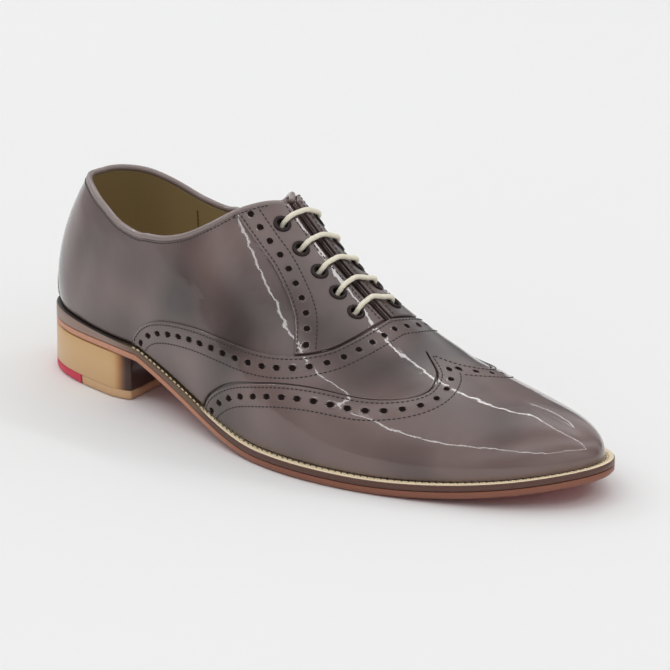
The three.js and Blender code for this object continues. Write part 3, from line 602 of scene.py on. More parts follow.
# one stitch: rings of (place along it, half width, half height, lift), ends sunk in the leather
STITCH = np.array([(-0.50, 0.10, 0.08, -0.30), (-0.36, 0.26, 0.20, 0.00), (0.00, 0.29, 0.23, 0.06),
                   (0.36, 0.26, 0.20, 0.00), (0.50, 0.10, 0.08, -0.30)])
STITCH_SIDES = 6
stitch_angle = 2 * np.pi * np.arange(STITCH_SIDES) / STITCH_SIDES
stitch_template = np.stack([
    np.repeat(STITCH[:, 0], STITCH_SIDES), (STITCH[:, 1:2] * np.cos(stitch_angle)).ravel(),
    (STITCH[:, 2:3] * np.sin(stitch_angle) + STITCH[:, 3:]).ravel()], axis=1)
stitch_faces = np.concatenate([ring_quads(len(STITCH), STITCH_SIDES)[:, ::-1],
                               [[0, 1, 2, 3], [0, 3, 4, 5], [27, 26, 25, 24], [29, 28, 27, 24]]])


def resampled(places, pitch, *others):
    """A line of places cut into even steps of about a pitch: their middles, with the others' rows."""
    arcs = np.concatenate([[0], np.cumsum(np.linalg.norm(np.diff(places, axis=0), axis=1))])
    count = max(2, round(arcs[-1] / pitch))
    wanted = (np.arange(count) + 0.5) * arcs[-1] / count
    return [np.stack([np.interp(wanted, arcs, column) for column in line.T], axis=1)
            for line in (places, *others)]


def sewn(name, lines, material, pitch, length=0.8, size=1.0):
    """Rows of stitches: each line is (places, normals), and each stitch the template laid along
    it, its length a share of the pitch."""
    points, faces = [], []
    local = stitch_template * [pitch * length, size, size]
    for places, normals in lines:
        centre, normal = resampled(places, pitch, normals)
        run = unit(np.gradient(centre, axis=0))
        sideways = unit(np.cross(normal, run))
        lifted = np.cross(run, sideways)
        placed = (centre[:, None] + local[:, :1] * run[:, None] + local[:, 1:2] * sideways[:, None]
                  + local[:, 2:] * lifted[:, None])
        start = sum(len(part) for part in points)
        points.append(placed.reshape(-1, 3))
        each = np.arange(len(centre))[:, None, None] * len(local) + start
        faces.append((stitch_faces + each).reshape(-1, 4))
    piece = add_mesh(name, np.concatenate(points), np.concatenate(faces), [material])
    return piece


def seam_round(name, ring, start, way, material, pitch, length, size):
    """Stitches along an outline in front of x = start, on its upper (1) or lower (-1) side."""
    ring = ring[ring[:, 0] > start]
    sewn(name, [(ring, np.tile([0, 0, float(way)], (len(ring), 1)))], material, pitch, length, size)


def blended(material, attribute, colours):
    """Colours a material from one even stop to the next by an attribute from 0 to 1."""
    source = node(material, "ShaderNodeAttribute", attribute_name=attribute)
    ramp = node(material, "ShaderNodeValToRGB", Fac=source.outputs["Fac"])
    elements = ramp.color_ramp.elements
    for number, colour in enumerate(colours):
        place = number / (len(colours) - 1)
        element = elements[0] if number == 0 else elements[-1] if place == 1 else elements.new(place)
        element.color = (*colour, 1)
    link(material, ramp.outputs["Color"], material.node_tree.nodes["Principled BSDF"].inputs["Base Color"])


welt_leather = principled("welt leather", srgb(214, 190, 148), 0.5)
# dark brown round the heel (stain, and painted shade under the upper's edge), tan at the waist, cream over
# the forefoot
blended(welt_leather, "front", [srgb(58, 50, 47), srgb(98, 80, 58), srgb(250, 232, 200)])
grained(welt_leather, (1500, 0.00008))
welt_edge = principled("welt edge", srgb(104, 70, 56), 0.4)
blended(welt_edge, "front", [srgb(150, 126, 114), srgb(110, 84, 66), srgb(92, 60, 50)])
inside = -UPPER_WALL - OVERLAY
welt_rings = [
    outline_ring(inside, welt_underside),
    outline_ring(welt_out - GAP, welt_underside),
    outline_ring(welt_out, welt_underside, 0.2),
    outline_ring(welt_out, welt_top, -WELT_BREAK),
    outline_ring(welt_out - WELT_BREAK, welt_top),
    outline_ring(inside, welt_top),
]
welt_faces = ring_quads(len(welt_rings), 2 * OUTLINE_STEPS, closed=True)
welt_look = np.repeat([1, 1, 1, 1, 0, 0], 2 * OUTLINE_STEPS)
welt_points = np.concatenate(welt_rings)
# 0 round the heel seat, where stain and painted shade are dark, 0.5 along the waist, 1 over the forefoot
welt_stain_and_shade = eased(welt_points[:, 0], [(52, 0), (76, 0.5), (116, 0.5), (124, 1)])
welt = add_mesh("welt", welt_points, welt_faces, [welt_leather, welt_edge], welt_look, {"front": welt_stain_and_shade})
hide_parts("welt")

welt_thread = principled("waxed thread", srgb(232, 214, 176), 0.5)
seam_round("welt_stitching", outline_ring(welt_out * WELT_SEAM, welt_top, 0.12), WELT_SEAM_START, 1,
           welt_thread, WELT_PITCH, 0.72, 1.35)
# a row of short dark marks between the welt stitches and the upper: painted shade of the gaps there
welt_gap_shade = principled("welt gap shade", srgb(60, 42, 32), 0.8)
seam_round("welt_painted_shade_marks", outline_ring(welt_out * WELT_SHADE_ROW, welt_top), WELT_SEAM_START, 1,
           welt_gap_shade, WELT_PITCH, 0.4, 1.2)

# Outsole: bend leather with a true outline, its edge stained and its underside painted up to
# the bevel. A stitched channel runs just inside the edge.

sole_edge = principled("sole edge", srgb(186, 120, 92), 0.45)
blended(sole_edge, "front", [srgb(204, 146, 118), srgb(190, 132, 104), srgb(138, 86, 66)])
sole_paint = principled("sole paint", srgb(158, 18, 28), 0.3)
grained(sole_paint, (400, 0.00015))
channel = principled("stitch channel", srgb(92, 14, 22), 0.6)
CHANNEL_INSET = 8
CHANNEL_HALF = 0.9
CHANNEL_DEPTH = 0.5
CHANNEL_LIP = 0.3
SOLE_BEVEL = 0.9
SOLE_BREAK = 0.2


def channel_ring(aside, depth):
    """Outline of the underside moved in to the channel, and aside from its middle."""
    return outline_ring(welt_out - CHANNEL_INSET + aside, underside, depth)


sole_rings = [
    channel_ring(-CHANNEL_HALF - CHANNEL_LIP, 0),
    channel_ring(-CHANNEL_HALF, CHANNEL_DEPTH),
    channel_ring(CHANNEL_HALF, CHANNEL_DEPTH),
    channel_ring(CHANNEL_HALF + CHANNEL_LIP, 0),
    outline_ring(welt_out - SOLE_BEVEL, underside),
    outline_ring(welt_out, underside, SOLE_BEVEL),
    outline_ring(welt_out, underside, OUTSOLE_THICKNESS - SOLE_BREAK),
    outline_ring(welt_out - SOLE_BREAK, underside, OUTSOLE_THICKNESS),
]
steps = 2 * OUTLINE_STEPS
side_faces = ring_quads(len(sole_rings), steps)
opposite = (steps - outline_step) % steps
opposite_next = steps - outline_step - 1
bottom_faces = np.stack([outline_step, opposite, opposite_next, outline_step + 1], axis=1)
top_faces = np.stack([outline_step, outline_step + 1, opposite_next, opposite], axis=1)
top_faces += (len(sole_rings) - 1) * steps
sole_look = np.concatenate([np.full(3 * steps, 2), np.full(steps, 1), np.zeros(len(side_faces) - 4 * steps),
                            np.full(len(bottom_faces), 1), np.zeros(len(top_faces))])
sole_points = np.concatenate(sole_rings)
sole_stain = eased(sole_points[:, 0], [(52, 0), (76, 0.5), (110, 0.5), (170, 1)])
outsole = add_mesh("outsole", sole_points, np.concatenate([side_faces, bottom_faces, top_faces]),
                   [sole_edge, sole_paint, channel], sole_look, {"front": sole_stain})
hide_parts("outsole")

sole_thread = principled("sole thread", srgb(206, 200, 70), 0.5)
seam_round("sole_stitching", channel_ring(0, CHANNEL_DEPTH - 0.2), HEEL_LENGTH + 2, -1,
           sole_thread, 4.5, 0.7, 1.6)

# Heel: a stacked leather block with a hollow breast, a moulded rubber lift nailed below it and
# a coloured rubber crescent let into the lift's outer back corner.

BREAST_HOLLOW = 4
HEEL_CORNER = 6
LIFT_THICKNESS = 4.2
INSERT_START = 35
CAD_HEEL_STEP = 0.018

heel_stops = np.arange(0, 0.5, CAD_HEEL_STEP)
heel_stops = heel_stops[sole_plan(heel_stops, -1)[0] < HEEL_LENGTH - HEEL_CORNER]
heel_share = np.linspace(0, heel_stops[-1], 70)
outer_edge, inner_edge = (np.stack(sole_outline(heel_share, side, WELT_AT_HEEL), axis=1) for side in (-1, 1))
middle = (outer_edge[-1, 1] + inner_edge[-1, 1]) / 2
breast = np.array([
    outer_edge[-1],
    (HEEL_LENGTH - 0.2 * HEEL_CORNER, outer_edge[-1, 1] + 0.3 * HEEL_CORNER),
    (HEEL_LENGTH - 0.1 * BREAST_HOLLOW, outer_edge[-1, 1] + 1.2 * HEEL_CORNER),
    (HEEL_LENGTH - BREAST_HOLLOW, middle),
    (HEEL_LENGTH - 0.1 * BREAST_HOLLOW, inner_edge[-1, 1] - 1.2 * HEEL_CORNER),
    (HEEL_LENGTH - 0.2 * HEEL_CORNER, inner_edge[-1, 1] - 0.3 * HEEL_CORNER),
    inner_edge[-1],
])
breast_share = np.linspace(0, 1, 62)[1:-1]
breast_line = np.stack([through(breast, column, breast_share) for column in (0, 1)], axis=1)
heel_plan = np.concatenate([outer_edge, breast_line, inner_edge[:0:-1]])
heel_run = unit(np.roll(heel_plan, -1, axis=0) - np.roll(heel_plan, 1, axis=0))
heel_plan = np.column_stack([heel_plan, heel_run[:, 1], -heel_run[:, 0]])   # x, y and the way outwards


def capped(rings, first, last):
    """Places and quads of stacked rings, closed by a fan to one place at each end."""
    sides = len(rings[0])
    points = np.concatenate([*rings, [first], [last]])
    corner = np.arange(sides)
    after = (corner + 1) % sides
    top = (len(rings) - 1) * sides
    low, high = np.full(sides, len(points) - 2), np.full(sides, len(points) - 1)
    return points, np.concatenate([
        ring_quads(len(rings), sides), np.stack([after, corner, low, low], axis=1),
        np.stack([corner + top, after + top, high, high], axis=1)])


def plate(name, plan, profile, material, attributes=None):
    """A plate on a plan outline: the outline moved in by each (inset, height) of its profile, from
    the bottom up."""
    rings = [np.column_stack([plan[:, :2] - plan[:, 2:] * inset_by, np.full(len(plan), height)])
             for inset_by, height in profile]
    middle = plan[:, :2].mean(axis=0)
    points, faces = capped(rings, (*middle, profile[0][1]), (*middle, profile[-1][1]))
    spread = {title: np.concatenate([np.tile(values, len(profile)), [values.mean()] * 2])
              for title, values in (attributes or {}).items()}
    piece = add_mesh(name, points, faces, [material], attributes=spread)
    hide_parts(name)
    return piece


def cut_plan(plan, origin, normal):
    """The part of a plan outline on the positive side of a line, half a gap off it."""
    depth = (plan[:, :2] - origin) @ normal - GAP / 2
    kept = []
    for here, there, d0, d1 in zip(plan, np.roll(plan, -1, axis=0), depth, np.roll(depth, -1)):
        if d0 >= 0:
            kept.append(here)
        if d0 * d1 < 0:
            kept.append(here + (there - here) * d0 / (d0 - d1))
    return np.array(kept)


heel_wood = principled("heel wood", srgb(206, 170, 122), 0.38, Coat_Weight=0.3, Coat_Roughness=0.2)
# tan on the heel's sides, dark brown on its breast: partly stain, partly painted shade of the breast facing
# in under the arch
blended(heel_wood, "breast", [srgb(212, 172, 120), srgb(176, 122, 74), srgb(66, 40, 32)])
grained(heel_wood, (300, 0.0001))
lift_rubber = principled("lift rubber", srgb(208, 168, 126), 0.55)
grained(lift_rubber, (1400, 0.0001))
insert_rubber = principled("insert rubber", srgb(206, 48, 76), 0.45)
# 0 on the heel's sides, 1 on its breast, where the stain and the painted shade are dark
inward = eased(heel_plan[:, 0], [(HEEL_LENGTH - 9, 0), (HEEL_LENGTH - 1.5, 1)])
block_profile = [(0.1, LIFT_THICKNESS + 0.1), (0, LIFT_THICKNESS + 0.3), (0, HEEL_HEIGHT - 0.6),
                 (0.3, HEEL_HEIGHT - GAP)]
plate("heel_block", heel_plan, block_profile, heel_wood, {"breast": inward})
coarse = np.stack(sole_outline(heel_stops, -1, WELT_AT_HEEL), axis=1)
chord_start = coarse[np.argmin(np.abs(coarse[:, 0] - INSERT_START))]
chord = unit(heel_plan[0, :2] - chord_start)
chord_normal = np.array([-chord[1], chord[0]])
lift_profile = [(1.2, 0), (0.45, 0.25), (0.1, 0.8), (0, 1.4), (0, LIFT_THICKNESS)]
plate("heel_lift", cut_plan(heel_plan, chord_start, -chord_normal), lift_profile, lift_rubber)
plate("heel_insert", cut_plan(heel_plan, chord_start, chord_normal), lift_profile, insert_rubber)

# Vamp: patent leather from behind the ball to the wing cap, its rear edge drawn in an arc over
# the waist and up across the foot of the throat.

SOLE_MARGIN = 0.995
PANEL_GAP = 0.003
VAMP_EDGE = np.array([   # (height on the wall, along) from the sole edge to the ridge
    (1.000, 0.287), (0.960, 0.290), (0.880, 0.319), (0.780, 0.388), (0.650, 0.476),
    (0.537, 0.529), (0.400, 0.564), (0.260, 0.583), (0.120, 0.595), (0.000, 0.602),
])
WING_EDGE = np.array([
    (1.000, 0.410), (0.930, 0.424), (0.820, 0.460), (0.720, 0.506), (0.600, 0.568), (0.500, 0.630),
    (0.380, 0.679), (0.270, 0.705), (0.160, 0.712), (0.080, 0.706), (0.000, 0.675),
])

PUNCH_RADIUS = 1.35
PUNCH_PITCH = 7.5
PUNCH_DEPTH = 1.1
PUNCH_RIM = 0.5
PUNCH_SWELLING = 0.07
EDGE_ROW = 1.5        # stitch row inside a panel's edge
PUNCH_ROW = 5.3       # row of punched holes
INNER_ROW = 9.5       # second stitch row, on the other side of the holes
STITCH_PITCH = 2.1


def inset(along, around, distance):
    """A line on the skin moved sideways, to the left of its run as seen from outside: in steps of
    a millimetre at most, each square to the line, and solved in the skin's own lengthwise and
    crosswise directions. What comes to run backwards is left out."""
    steps = math.ceil(abs(distance))
    e, window = 0.002, 6
    number = np.arange(len(along))
    ahead, behind = np.minimum(number + window, len(along) - 1), np.maximum(number - window, 0)
    for _ in range(steps):
        place = last_point(along, around)
        run = unit(place[ahead] - place[behind])
        sideways = np.cross(skin_normal(along, around), run) * distance / steps
        out = np.where(around < 0, -e, e)
        lengthwise = (last_point(along + e, around) - last_point(along - e, around)) / (2 * e)
        across = (last_point(along, around + out) - place) / out[:, None]
        ll, lc, cc = (lengthwise ** 2).sum(1), (lengthwise * across).sum(1), (across ** 2).sum(1)
        ls, cs = (lengthwise * sideways).sum(1), (across * sideways).sum(1)
        det = ll * cc - lc ** 2
        along, around = along + (ls * cc - cs * lc) / det, around + (ll * cs - lc * ls) / det
    forward = (np.diff(last_point(along, around), axis=0) * run[1:]).sum(axis=1) > 0
    kept = np.append(True, forward)
    return along[kept], around[kept]


def spaced(along, around, pitch):
    """Places at even arcs along a line on the skin, about a pitch apart and half of one inside
    its ends."""
    steps = np.linalg.norm(np.diff(last_point(along, around), axis=0), axis=1)
    length = np.concatenate([[0], np.cumsum(steps)])
    count = max(2, round(length[-1] / pitch))
    arcs = (np.arange(count) + 0.5) * length[-1] / count
    return np.interp(arcs, length, along), np.interp(arcs, length, around)


def punched(along, around, holes, cell):
    """Sinks round holes in a sheet: (along, around, depths), with a faint swelling at each rim."""
    along, around, distance = snapped(along, around, holes, PUNCH_RADIUS, cell)
    depth = np.where(distance < PUNCH_RADIUS - 1e-6, PUNCH_DEPTH, 0)
    swelling = (distance > PUNCH_RADIUS - 1e-6) & (distance < PUNCH_RADIUS + PUNCH_RIM)
    return along, around, depth - PUNCH_SWELLING * swelling


thread = principled("dark thread", srgb(46, 38, 37), 0.55)


def stitching(name, rows, material=thread, pitch=STITCH_PITCH, length=0.85, size=1.0):
    """Rows of stitches on the skin: each row is (along, around, height)."""
    lines = [(skin_point(along, around, np.broadcast_to(height, along.shape)), skin_normal(along, around))
             for along, around, height in rows]
    return sewn(name, lines, material, pitch, length, size)


def edge_line(table, sides=(-1, 1)):
    """A panel's rear edge as a line on the skin, from the outer sole edge over the ridge to the
    inner one, or one side of it from the sole edge up to the ridge."""
    around = np.linspace(-SOLE_MARGIN if -1 in sides else 0, SOLE_MARGIN if 1 in sides else 0, 500)
    return look_up(table, 0, 1, np.abs(around)), around


vamp_edge = edge_line(VAMP_EDGE)
vamp_holes = list(zip(*spaced(*inset(*vamp_edge, -PUNCH_ROW), PUNCH_PITCH)))
s, t, quads = grid(76, 440)
around = (2 * t - 1) * SOLE_MARGIN
rear = look_up(VAMP_EDGE, 0, 1, np.abs(around))
front = look_up(WING_EDGE, 0, 1, np.abs(around)) - PANEL_GAP
along, around, depth = punched(rear + (front - rear) * s, around, vamp_holes, cell=0.46)
vamp = leather("vamp", along, around, quads, LAYER_FOOT, LAYER_OUT, patent, wells=depth)
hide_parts("vamp")
stitching("vamp_stitching", [(*inset(*vamp_edge, -row), LAYER_OUT) for row in (EDGE_ROW, INNER_ROW)])

# Wing cap: the second layer over the toe, its rear edge swept back along both sides from a
# peak on the ridge, with its own row of punched holes.


def wing_rows(distance):
    """The wing's edge moved towards the toe on each side, cut off where it meets the ridge."""
    rows = []
    for side in (-1, 1):
        along, around = inset(*edge_line(WING_EDGE, sides=(side,)), -distance)
        kept = around * side > 0
        rows.append((along[kept], around[kept]))
    return rows


wing_holes = [place for row in wing_rows(PUNCH_ROW) for place in zip(*spaced(*row, PUNCH_PITCH))]
s, t, quads = grid(116, 400)
around = (2 * t - 1) * SOLE_MARGIN
rear = look_up(WING_EDGE, 0, 1, np.abs(around))
crowded = np.interp(s, [0, 50 / 116, 1], [0, 0.15, 1])     # more columns under the holes
along, around, depth = punched(rear + (1 - rear) * crowded, around, wing_holes, cell=0.46)
wing_cap = leather("wing_cap", along, around, quads, LAYER_FOOT, CAP_OUT, patent, wells=depth)
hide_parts("wing_cap")
stitching("wing_stitching", [(*row, CAP_OUT) for inward in (EDGE_ROW, INNER_ROW)
                             for row in wing_rows(inward)])

# Facings: the two eyelet tabs of patent leather over the instep, with a curved rear edge. They are
# punched in one row and sewn to the wall along that edge and along the throat.

THROAT_ROW = 2
FACING_TUCK = 0.004       # short of topline and throat edge, as a share round
FACING_EDGE = np.array([   # (along, height) from the topline to the vamp
    (0.4, 0.337), (0.437, 0.334), (0.464, 0.329), (0.487, 0.349),
    (0.502, 0.373), (0.514, 0.408), (0.523, 0.464), (0.531, 0.53),
])


def facing_places(side, s, t):
    """Patch between topline, vamp edge, curved rear edge and throat: straight blends of opposite
    edges, less the blend of the four corners."""
    column = 2 if side < 0 else 3

    throat_share = np.linspace(THROAT_TOP - 0.02, THROAT_END + 0.02, 60)
    throat_curve = around_at_arc(throat_share, THROAT_WIDTH / 2, 1) + FACING_TUCK

    def throat_height(along):
        return np.interp(along, throat_share, throat_curve)

    low_end = FACING_EDGE[-1]
    foot = float(throat_height(THROAT_END))

    def top(s):
        along = FACING_EDGE[0, 0] + (THROAT_TOP - FACING_EDGE[0, 0]) * s
        return np.stack([along, look_up(TOPLINE, 1, column, along) + FACING_TUCK])

    def bottom(s):
        height = low_end[1] + (foot - low_end[1]) * s
        return np.stack([look_up(VAMP_EDGE, 0, 1, height) - PANEL_GAP, height])

    ends = {place: (top(np.float64(place)), bottom(np.float64(place))) for place in (0, 1)}

    def down(t, place):
        return ends[place][0][:, None] * (1 - t) + ends[place][1][:, None] * t

    rear = down(t, 0) + np.stack([
        through(FACING_EDGE, k, t) - (FACING_EDGE[0, k] * (1 - t) + low_end[k] * t) for k in (0, 1)])
    along = down(t, 1)[0]
    start = ends[1][0][1]
    front = np.stack([along, start + (throat_height(along) - start) * np.minimum(1, 6 * t)])
    corners = (1 - s) * down(t, 0) + s * down(t, 1)
    places = (1 - t) * top(s) + t * bottom(s) + (1 - s) * rear + s * front - corners
    return places[0], side * places[1]


for side, name in ((-1, "facing_outer"), (1, "facing_inner")):
    line = np.linspace(0, 1, 300)
    rear_edge = facing_places(side, np.zeros(300), line)
    throat_line = facing_places(side, np.ones(300), line)
    holes = list(zip(*spaced(*inset(*rear_edge, PUNCH_ROW * -side), PUNCH_PITCH)))
    s, t, quads = grid(90, 180)
    along, around = facing_places(side, s, t)
    along, around, depth = punched(along, around, holes, cell=0.36)
    own = [place for place in eyelet_places if place[1] * side > 0]
    along, around, nearest = snapped(along, around, own, EYELET_HOLE, cell=0.5)
    quads = without_holes(quads, nearest, EYELET_HOLE)
    facing = leather(name, along, around, quads[:, ::side], LAYER_FOOT, LAYER_OUT, patent, wells=depth)
    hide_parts(name)
    rows = []
    lines = [inset(*rear_edge, row * -side) for row in (EDGE_ROW, INNER_ROW)]
    for along, around in [*lines, inset(*throat_line, THROAT_ROW * side)]:
        below_top = np.abs(around) > look_up(TOPLINE, 1, 2 if side < 0 else 3, along) + 0.03
        kept = (below_top | (along > THROAT_TOP)) & (along < look_up(VAMP_EDGE, 0, 1, np.abs(around)) - 0.005)
        rows.append((along[kept], around[kept], LAYER_OUT))
    stitching(f"{name}_stitching", rows)

# Back strip: a patent leather stay over the centre-back seam, widening down to the heel seat and
# sewn down along both edges.

STRIP_HALF = np.array([(0.0, 0.028), (0.5, 0.034), (1.0, 0.075)])
STRIP_TOP = TOPLINE[0, 2] + 0.02
STRIP_ROWS = (1.3, 3.1)


def down_the_back(t):
    """Share around on the outer side, evenly from the strip's top to the sole edge."""
    return -(STRIP_TOP + (SOLE_MARGIN - STRIP_TOP) * t)


s, t, quads = grid(60, 110)
back_strip = leather("back_strip", (2 * s - 1) * through(STRIP_HALF, 1, t), down_the_back(t), quads[:, ::-1],
                     LAYER_FOOT, LAYER_OUT, patent)
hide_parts("back_strip")

line = np.linspace(0.03, 0.985, 200)
strip_rows = [(*inset(side * through(STRIP_HALF, 1, line), down_the_back(line), -side * row), LAYER_OUT)
              for side in (-1, 1) for row in STRIP_ROWS]
stitching("back_strip_stitching", strip_rows)

# Back tag: a small tab of dark woven cloth, sewn on at the top of the back strip. Its form is a
# guess from the dark sliver that shows at the centre back.

TAG_HALF = 0.02
TAG_DROP = 0.17
TAG_THICKNESS = 1.1

tag_cloth = principled("tag cloth", srgb(40, 42, 58), 0.8)
s, t, quads = grid(12, 24)
back_tag = leather("back_tag", (2 * s - 1) * TAG_HALF, -(STRIP_TOP + TAG_DROP * t), quads[:, ::-1],
                   LAYER_OUT, LAYER_OUT + TAG_THICKNESS, tag_cloth)

# Rolled edge of the topline: a strip of the same leather turned over a cord, with a row of fine
# stitches below it. The lining's own seams inside are sewn here too.

BEAD_WIDTH = 2.8
BEAD_SINK = 0.4
BEAD_END = 0.992


def tube(centres, across, up, width, height, sides):
    """Places and quads of a tube: an oval round each centre, across it and up from it."""
    angle = 2 * np.pi * np.arange(sides) / sides
    rings = (centres[:, None] + across[:, None] * (width / 2 * np.cos(angle))[..., None]
             + up[:, None] * (height / 2 * np.sin(angle))[..., None])
    return capped(rings, centres[0], centres[-1])


bead_share = np.linspace(-1, 1, 481) * BEAD_END
bead_size = BEAD_WIDTH * np.sqrt(np.clip(150 * (BEAD_END - np.abs(bead_share)), 0.04, 1))[:, None]
bead_along = through(TOPLINE, 1, np.abs(bead_share))
outer_top, inner_top = (through(TOPLINE, column, np.abs(bead_share)) for column in (2, 3))
bead_around = np.where(bead_share < 0, -outer_top, inner_top)
bead_line = skin_point(bead_along, bead_around, np.full(bead_share.shape, (WALL_IN + WALL_OUT) / 2))
bead_run = unit(np.gradient(bead_line, axis=0))
bead_normal = skin_normal(bead_along, bead_around)
bead_up = unit(np.cross(bead_run, bead_normal))
edging = principled("rolled edging", srgb(134, 118, 114), 0.35, Coat_Weight=0.7, Coat_Roughness=0.1)
bead_centres = bead_line + bead_up * (BEAD_WIDTH / 2 - BEAD_SINK)
points, faces = tube(bead_centres, bead_normal, bead_up, bead_size, bead_size, 14)
topline_bead = add_mesh("topline_bead", points, faces, [edging])
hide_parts("topline_bead")

stitch_line = inset(bead_along[12:-12], bead_around[12:-12], 1.0)
on_facing = stitch_line[0] > FACING_EDGE[0, 0]
stitching("topline_stitching", [(*stitch_line, np.where(on_facing, LAYER_OUT, WALL_OUT))], pitch=1.8)
lining_thread = principled("lining seam", srgb(120, 98, 62), 0.6)
seam_around = np.linspace(0.63, 0.96, 60)
lining_seams = [(np.full(60, 0.235), side * seam_around, WALL_IN - 0.1) for side in (-1, 1)]
stitching("lining_seams", lining_seams, lining_thread, size=1.4)

# Tongue: one piece of patent leather under the facings, sewn in under the vamp, with its tip just
# above the facings' top corners.

TONGUE_TOP = 0.42
TONGUE_END = 0.655
TONGUE_HALF = 0.3
TONGUE_THICKNESS = 2
TONGUE_NARROWING = 0.25
TONGUE_OUT = WALL_IN - 2 * GAP

s, t, quads = grid(90, 70)
half = TONGUE_HALF * (1 - TONGUE_NARROWING * (1 - s) ** 4)
tongue = leather("tongue", TONGUE_TOP + (TONGUE_END - TONGUE_TOP) * s, (2 * t - 1) * half, quads,
                 TONGUE_OUT - TONGUE_THICKNESS, TONGUE_OUT, patent)
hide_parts("tongue")

# Eyelets: dark metal rings with a rolled flange, pressed through facing and wall from outside,
# five on each side of the throat.

EYELET_DEPTH = LAYER_OUT - WALL_IN

gunmetal = principled("gunmetal", srgb(54, 46, 46), 0.3, Metallic=0.85)
flange = np.array([   # (radius, height over the facing) round the ring's section, outside first
    (EYELET_BORE / 2 + TUBE_WALL, -EYELET_DEPTH),
    (EYELET_BORE / 2 + TUBE_WALL, 0),
    (EYELET_WIDTH / 2, 0),
    (EYELET_WIDTH / 2 - 0.1, 0.3),
    (EYELET_WIDTH / 2 - 0.5, 0.62),
    (EYELET_WIDTH / 2 - 1.0, 0.74),
    (EYELET_BORE / 2 + 0.3, 0.55),
    (EYELET_BORE / 2, 0.1),
    (EYELET_BORE / 2, -EYELET_DEPTH),
])


def turned(profile, centre, axis, sides):
    """A profile of (radius, height) turned round an axis: rings of places, closed on itself."""
    across = unit(np.cross(axis, [0.3, 0.2, 1]))
    other = np.cross(axis, across)
    angle = 2 * np.pi * np.arange(sides) / sides
    spoke = across * np.cos(angle)[:, None] + other * np.sin(angle)[:, None]
    rings = centre + profile[:, :1, None] * spoke + profile[:, 1:, None] * axis
    return rings.reshape(-1, 3), ring_quads(len(profile), sides, closed=True)


for number, (along, around) in enumerate(eyelet_places):
    name = f"eyelet_{('outer', 'inner')[number % 2]}_{number // 2 + 1}"
    points, faces = turned(flange, skin_point(along, around, LAYER_OUT), skin_normal(along, around), 28)
    ring = add_mesh(name, points, faces, [gunmetal])
    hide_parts(name)

# Lace: one round waxed cord through all ten eyelets, in straight bars over the throat. Between
# them it runs pressed flat behind the facings, where both its ends stop below the top eyelets.

LACE_WIDTH = 2.2
LACE_DEPTH = -2.5         # of the cord in the eyelets' bores, under the facing
PRESSED_WIDTH = 4.2
PRESSED_THICKNESS = 0.5
PRESSED_HEIGHT = (WALL_IN + TONGUE_OUT) / 2
LACE_BOW = 2.6            # sideways, past the eyelets that a hidden run skips
# (pair from the top, side) in the cord's order: bars and hidden runs by turns
LACE_ROUTE = [(1.4, -1), (2, -1), (2, 1), (4, 1), (4, -1), (5, -1),
              (5, 1), (3, 1), (3, -1), (1, -1), (1, 1), (1.5, 1)]
# (mm from the eyelet, height): a bar's climb out of the bore, and its sag on to the throat
LACE_CLIMB = [(0, LACE_DEPTH), (2.6, 2.15)]
LACE_SAG = [(3.6, 0), (8, 0.95)]
LACE_STEP = 0.3
LACE_SIDES = 16
LACE_STRANDS = 2
LACE_TWIST = 0.6          # radians a step
LACE_RIB = 0.035

lace_cord = principled("waxed cord", srgb(238, 230, 210), 0.5)
grained(lace_cord, (2500, 0.00006))


def lace_leg(first, last):
    """(along, around, height) from one eyelet to the next: a bar where they are a pair, else a run
    pressed flat between wall and tongue and bowed aside."""
    share = np.linspace(0, 1, 81)[:-1]
    pair = first[0] + (last[0] - first[0]) * share
    along = np.interp(pair, np.arange(EYELET_PAIRS) + 1, pair_share)
    if first[0] == last[0]:
        start, end = (around_at_arc(along[0], EYELET_ROWS / 2, side) for side in (first[1], last[1]))
        near = np.minimum(share, 1 - share) * EYELET_ROWS
        height = LAYER_OUT + eased(near, LACE_CLIMB) - eased(near, LACE_SAG)
        return along, start + (end - start) * share, height
    bow = LACE_BOW * np.sin(np.pi * share) * np.sign(last[0] - first[0])
    around = np.array([around_at_arc(a, EYELET_ROWS / 2 + aside, first[1]) for a, aside in zip(along, bow)])
    reach = np.linalg.norm(last_point(along[0], around[0]) - last_point(along[-1], around[-1]))
    near = np.minimum(share if first[0] % 1 == 0 else 1, 1 - share if last[0] % 1 == 0 else 1) * reach
    return along, around, PRESSED_HEIGHT + eased(near, [(0, LAYER_OUT + LACE_DEPTH - PRESSED_HEIGHT), (2, 0)])


legs = [np.stack(lace_leg(*ends), axis=1) for ends in zip(LACE_ROUTE, LACE_ROUTE[1:])]
route = np.concatenate(legs)
route_points = skin_point(*route.T)
route_normals = skin_normal(route[:, 0], route[:, 1])
centres, lace_up, heights = resampled(route_points, LACE_STEP, route_normals, route[:, 2:])


def smoothed(line):
    """A line's places, each the mean of nine round it."""
    padded = np.pad(line, ((4, 4), (0, 0)), mode="edge")
    return np.stack([np.convolve(column, np.ones(9) / 9, "valid") for column in padded.T], axis=1)


